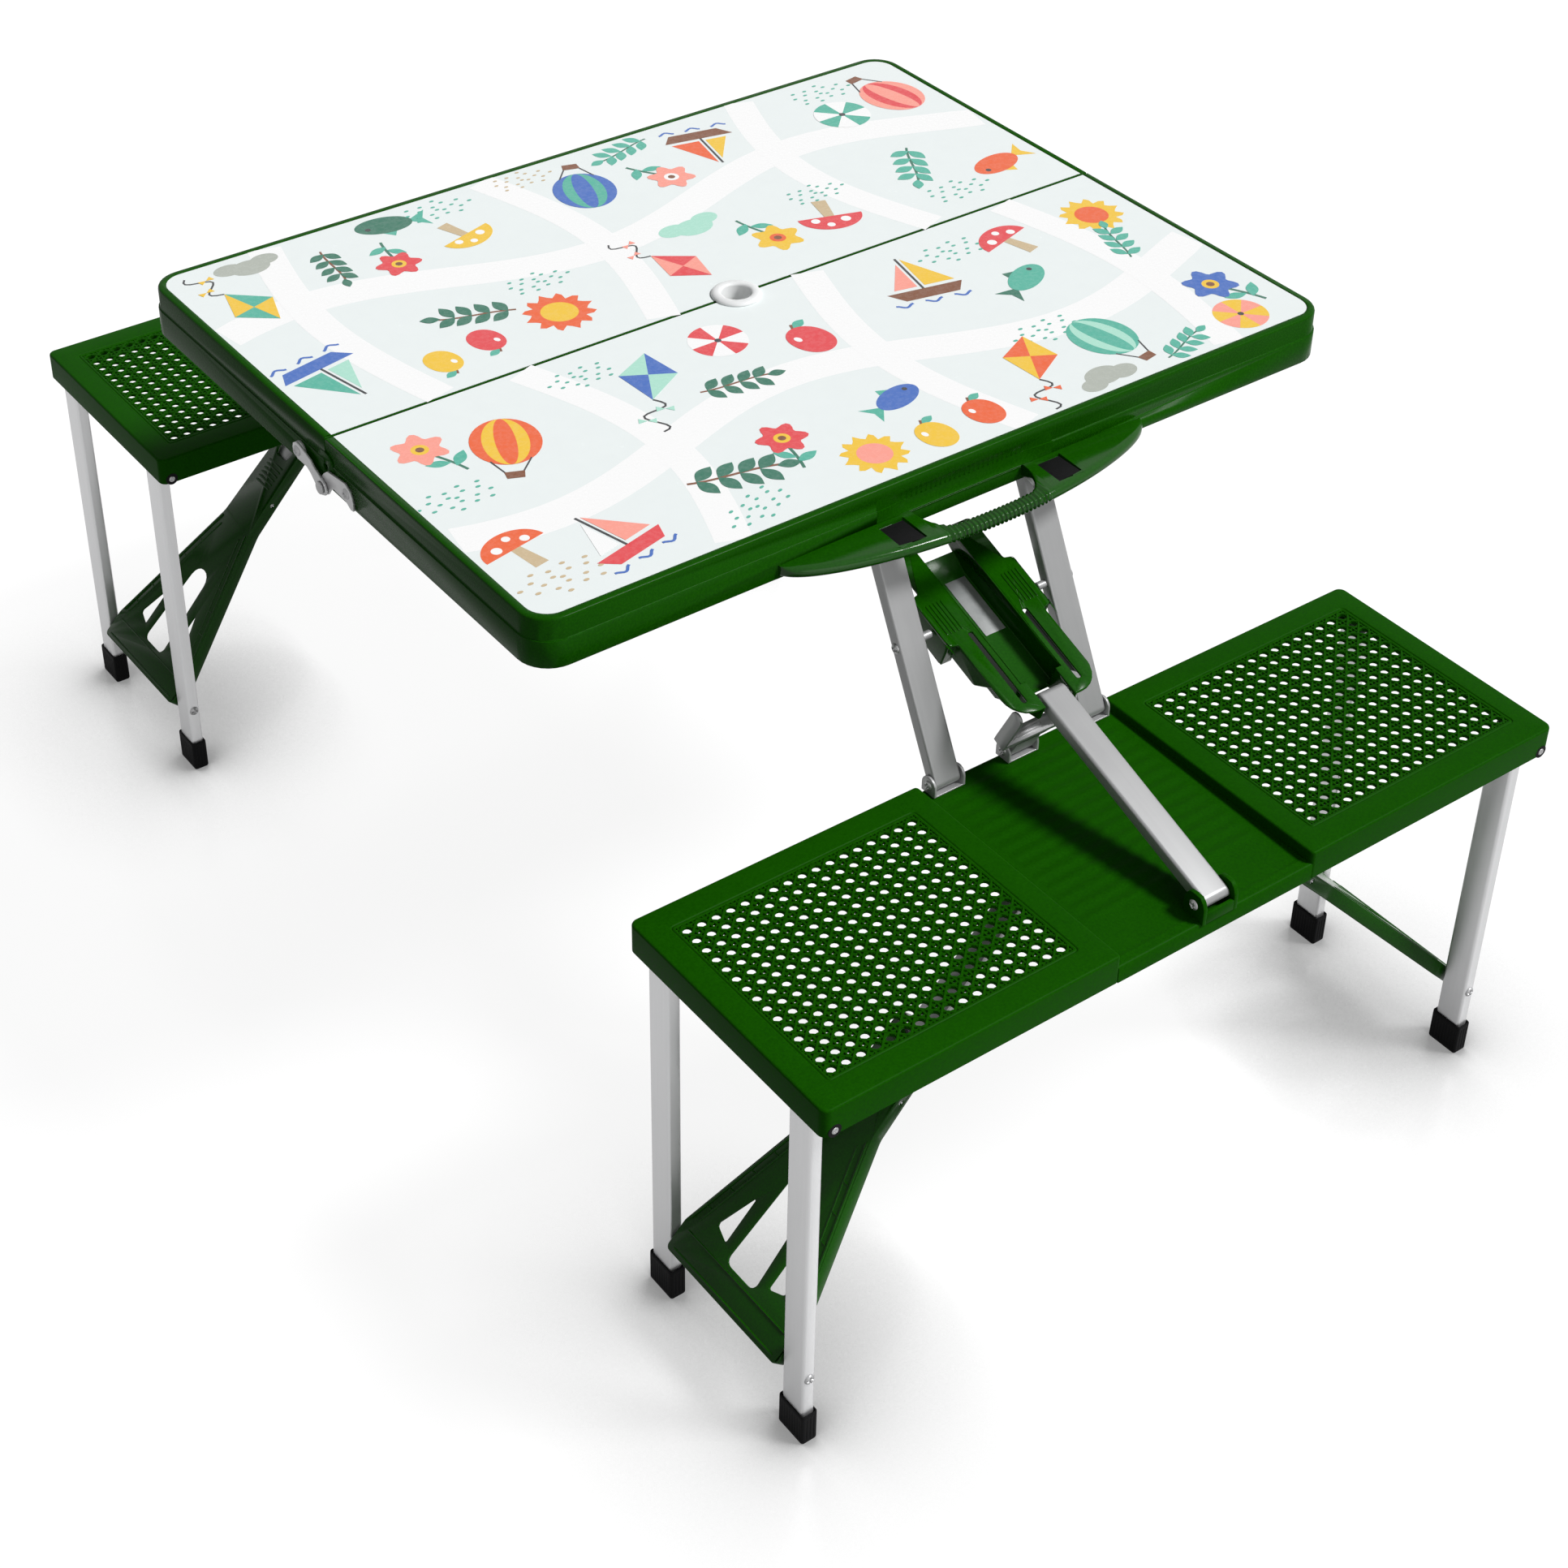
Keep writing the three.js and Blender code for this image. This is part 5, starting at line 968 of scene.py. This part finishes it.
gloss_green = green_moulding("gloss_green_moulding", 0.08, 0.16, 0.1)
label_sheet, shader, spot = finish("blank_plate", {"Specular IOR Level": 0.5})
rub = spot.node("ShaderNodeTexNoise", {}, {"Vector": spot, "Scale": 120.0, "Detail": 3.0})
foil = {0: rub, 6: (0.22, 0.23, 0.23, 1), 7: (0.34, 0.35, 0.35, 1)}
spot.node("ShaderNodeMix", {"data_type": "RGBA"}, foil, 2).into(shader, "Base Color")
(rub * 0.2 + 0.3).into(shader, "Roughness")
for place, sign in HALVES:
    eased("brace_" + place, gloss_green, 0.9)
    liners = [moved(across(slab(SLOT_LINER, 36.5, 38.5, 0.4)), (s, 1, 1)) for s in (-1, 1)]
    liners = [moved((on_brace(p), f), (sign, sign, 1)) for p, f in liners]
    piece("brace_slot_liners_" + place, liners, gloss_green, "brace_" + place)
    ribs = [ridge(s * x, *WING_RIBS[1], 1.0, 1.0, BRACE_TOP - 0.1) for x in WING_RIBS[0] for s in (-1, 1)]
    ribs = [moved((on_brace(p), f), (sign, sign, 1)) for p, f in ribs]
    piece("brace_wing_ribs_" + place, ribs, gloss_green, "brace_" + place, sharp=60)
    flat = slab(((-3, 84), (19, 84), (19, 146), (-3, 146)), -17.5, -17.0, 0.1)
    plate = moved((on_brace(flat[0]), flat[1]), (sign, sign, 1))
    piece("brace_blank_plate_" + place, [plate], label_sheet, "brace_" + place)

# Props: aluminium stirrups that stand in their clevis on the deck and slide in the slots of the brace.
for place in ("front", "back"):
    eased("prop_" + place, pressed_aluminium, 0.8)

# Bench end legs: flat tubes that turn on a bolt through the bench wall; a screw low on each leg holds the
# wishbone. Black ribbed rubber caps close the feet.
END_LEG_X = 394.0
END_LEG_PIVOT = 383.0
BENCH_MIDDLE = -547.0
END_LEG_HALF_SPACING = 95.5
WISHBONE_SCREW = 76.0
CAP_HALF = (8.2, 17.1)


def foot_cap():
    """Cup of rounded rectangles, drawn in at the sole; upright flutes are cut by a cosine round its wall."""
    ring = rounded(*CAP_HALF, 3, 6)
    perimeter = []
    for a, b in zip(ring, np.roll(ring, -1, 0)):
        count = 24 if np.hypot(*(b - a)) > 8 else 14 if np.hypot(*(b - a)) > 4 else 1
        perimeter.append(a + np.linspace(0, 1, count, endpoint=False)[:, None] * (b - a))
    perimeter = np.vstack(perimeter)
    ahead = np.roll(perimeter, -1, 0) - np.roll(perimeter, 1, 0)
    outside = np.stack([ahead[:, 1], -ahead[:, 0]], 1) / np.linalg.norm(ahead, axis=1, keepdims=True)
    flute = np.where(np.abs(outside).max(1) > 0.98, 1.0, 0.0)
    wide = np.abs(outside[:, 0]) > 0.9
    way = np.where(wide, perimeter[:, 1], perimeter[:, 0])
    groove = flute * np.clip(np.cos(way / 3.6 * 2 * np.pi) * 2 - 0.6, 0, 1)
    rows = ((1.6, 0.0, 0), (0.5, 0.5, 0), (0.0, 1.8, 0), (0.0, 4.5, 0), (0.0, 5.5, 1), (0.0, 29.0, 1), (0.0, 30.0, 0),
            (0.1, 33.2, 0), (0.6, 34.0, 0), (1.5, 34.0, 0), (1.6, 22.0, 0))
    rings = [np.hstack([perimeter - outside * (i + 0.55 * g * groove)[:, None], np.full((len(perimeter), 1), z)]) for i, z, g in rows]
    return capped(np.stack(rings))


end_tube = satin_aluminium("end_leg_tube", (0, (260, 260, 9)), 0.66, 0.8)
for place, sign in HALVES:
    for side in (-1, 1):
        name = place + ("_left" if side * sign < 0 else "_right")
        body = "end_legs_" + name
        for edge in (-1, 1):
            mark = name + ("_a" if edge * side < 0 else "_b")
            y = BENCH_MIDDLE + edge * END_LEG_HALF_SPACING
            top = np.array([side * END_LEG_X, y, END_LEG_PIVOT])
            base = np.array([side * END_LEG_X, y, 12.0])
            tube = flat_tube(base, top, np.array([0, 1.0, 0]))
            bolt = moved(pin(3, 13, 33, "y"), (1, edge, 1), top)
            parts = [moved(p, (sign, sign, 1)) for p in (tube, bolt)]
            piece("end_leg_tube_" + mark, parts, end_tube, body, ("end_leg_" + mark,))
            heads = [
                screw(3.2, 0.9, top + (0, edge * 35.7, 0), "y", edge),
                screw(5, 2.4, np.array([side * END_LEG_X, y + edge * TUBE_HALF_WIDTH, WISHBONE_SCREW]), "y", edge),
            ]
            piece("end_leg_screws_" + mark, [moved(h, (sign, sign, 1)) for h in heads], screw_steel, body)
            cap = moved(foot_cap(), shift=(side * END_LEG_X, y, 0))
            piece("foot_cap_ribbed_" + mark, [moved(cap, (sign, sign, 1))], black_rubber, body, ("foot_cap_" + mark,))

# Wishbones: green struts, open below, between each leg pair and the bench; a flat link carries on from the knee
# pin to a lug under the deck. The neck is ribbed for the fingers.
WISHBONE_KNEE = np.array([-240.0, BENCH_MIDDLE, 234.1])
LINK_ANCHOR = np.array([-95.0, BENCH_MIDDLE, 383.0])
WISHBONE_FACE = 6.9
EDGE_RIBS = (((-198, 75), (-42, 26), 1.3, 1.2), ((-196, 66), (-50, 20), 0.9, 0.8))
CROSS_RIBS = ((-180, 61, 69), (-155, 53, 61), (-130, 45, 53), (-105, 37, 45), (-80, 29, 37))
BAR_RIBS = ((-228, 72, 1.3), (-207.5, 70, 0.9))


def slanted(start, end, half, rise):
    """Ridge laid on the strut's face from start to end, each given along and across the strut."""
    start, end = np.array(start, float), np.array(end, float)
    length = np.linalg.norm(end - start)
    ahead = (end - start) / length
    points, faces = ridge(0, 0, length, half, rise, WISHBONE_FACE)
    flat = start + points[:, 1:2] * ahead + points[:, :1] * np.array([-ahead[1], ahead[0]])
    return np.hstack([flat, points[:, 2:]]), faces


def wishbone_ribs():
    """Ribs of one strut: two down each slanted edge with rungs between them, two on the foot bar, six on the neck."""
    ribs = [ridge(t, -15, 15, 1.2, 0.9, WISHBONE_FACE) for t in np.arange(6) * 5.2 + 12]
    ribs += [ridge(t, -reach, reach, half, 1.0, WISHBONE_FACE) for t, reach, half in BAR_RIBS]
    for s in (-1, 1):
        ribs += [slanted((t0, s * y0), (t1, s * y1), half, rise) for (t0, y0), (t1, y1), half, rise in EDGE_RIBS]
        ribs += [slanted((t, s * near), (t, s * far), 0.8, 0.8) for t, near, far in CROSS_RIBS]
    return ribs


def on_wishbone(points):
    """Places points of along, across and above on the strut: along runs from the foot bar through the knee pin."""
    way = (LINK_ANCHOR - WISHBONE_KNEE) / np.linalg.norm(LINK_ANCHOR - WISHBONE_KNEE)
    above = np.array([-way[2], 0, way[0]])
    return points[:, :1] * way + points[:, 1:2] * np.array([0, 1.0, 0]) + points[:, 2:] * above + WISHBONE_KNEE


for place, sign in HALVES:
    for side in (-1, 1):
        name = place + ("_left" if side * sign < 0 else "_right")
        turn = (-side * sign, sign, 1)
        eased("wishbone_" + name, gloss_green, 0.9)
        eased("wishbone_link_" + name, pressed_aluminium, 0.5)
        ribs = [moved((on_wishbone(points), faces), turn) for points, faces in wishbone_ribs()]
        heads = [moved(screw(4.4, 1.9, WISHBONE_KNEE + (0, s * 24.2, 0), "y", s), turn) for s in (-1, 1)]
        piece("wishbone_ribs_" + name, ribs, gloss_green, "wishbone_" + name, sharp=60)
        piece("wishbone_pin_heads_" + name, heads, screw_steel, "wishbone_" + name)

# Floor, studio light and camera: a plain white sweep under one soft lamp from the upper right, with a weak even
# fill from all round and a painted contact shadow on the floor near the object, seen from above the left corner.
FILL = 0.1


def seen_directly(spot):
    """One for rays of the camera, mirrors and glass, and zero for the light that falls on the object."""
    kinds = ("Is Camera Ray", "Is Glossy Ray", "Is Transmission Ray")
    eye, mirror, glass = (spot.node("ShaderNodeLightPath", {}, {}, kind) for kind in kinds)
    return spot.reckon("MINIMUM", eye + mirror + glass, 1.0)


floor_mesh = bpy.data.meshes.new("studio_floor")
floor_mesh.from_pydata([(-12, -12, 0), (12, -12, 0), (12, 12, 0), (-12, 12, 0)], [], [(0, 1, 2, 3)])
floor = bpy.data.objects.new("studio_floor", floor_mesh)
bpy.context.collection.objects.link(floor)
paper, shader, spot = finish("white_sweep", {"Roughness": 0.22, "Specular IOR Level": 0.3, "Emission Strength": 1.0})
paper_tone = {0: seen_directly(spot), 6: (0.14, 0.14, 0.14, 1), 7: (0.13, 0.13, 0.13, 1)}
spot.node("ShaderNodeMix", {"data_type": "RGBA"}, paper_tone, 2).into(shader, "Base Color")
# Painted contact shadow: ambient occlusion within 0.2 m dims the floor's glow for the camera near the object, darkest
# beside the feet.
nearness = spot.node("ShaderNodeAmbientOcclusion", {"samples": 12}, {"Distance": 0.2}, "AO")
painted_contact_shadow = spot.reckon("MAXIMUM", nearness * 2.0 - 1.0, 0.3)
paper_glow = {0: seen_directly(spot) * painted_contact_shadow, 6: (0, 0, 0, 1), 7: (0.9, 0.9, 0.9, 1)}
spot.node("ShaderNodeMix", {"data_type": "RGBA"}, paper_glow, 2).into(shader, "Emission Color")
floor_mesh.materials.append(paper)

world = bpy.data.worlds.new("white_studio")
world.use_nodes = True
bpy.context.scene.world = world
backdrop = world.node_tree.nodes["Background"]
backdrop.inputs["Color"].default_value = (1, 1, 1, 1)
(seen_directly(Socket(world.node_tree, None)) * (1 - FILL) + FILL).into(backdrop, "Strength")


def soft_lamp(name, gaze, width, power):
    """Wide far lamp that shines along a direction; its width is the angle it fills, in degrees."""
    lamp = bpy.data.lights.new(name, "SUN")
    lamp.angle = math.radians(width)
    lamp.energy = power
    made = bpy.data.objects.new(name, lamp)
    made.rotation_euler = (math.atan2(math.hypot(gaze[0], gaze[1]), -gaze[2]), 0, math.atan2(-gaze[0], gaze[1]))
    bpy.context.collection.objects.link(made)


soft_lamp("upper_right_lamp", (-0.6, 0.55, -1.0), 13, 3.35)
soft_lamp("front_lamp", (0.1, 1.0, -0.35), 40, 0.5)

camera = bpy.data.cameras.new("photo_camera")
camera.sensor_width = 36
camera.lens = 36 * 3525.2 / 1932
camera.shift_y = -0.12
viewer = bpy.data.objects.new("photo_camera", camera)
viewer.location = (-1.3478, -1.8608, 1.9605)
viewer.rotation_euler = tuple(math.radians(a) for a in (54.479, -0.906, -36.494))
bpy.context.collection.objects.link(viewer)
bpy.context.scene.camera = viewer
bpy.context.scene.view_settings.view_transform = "Standard"
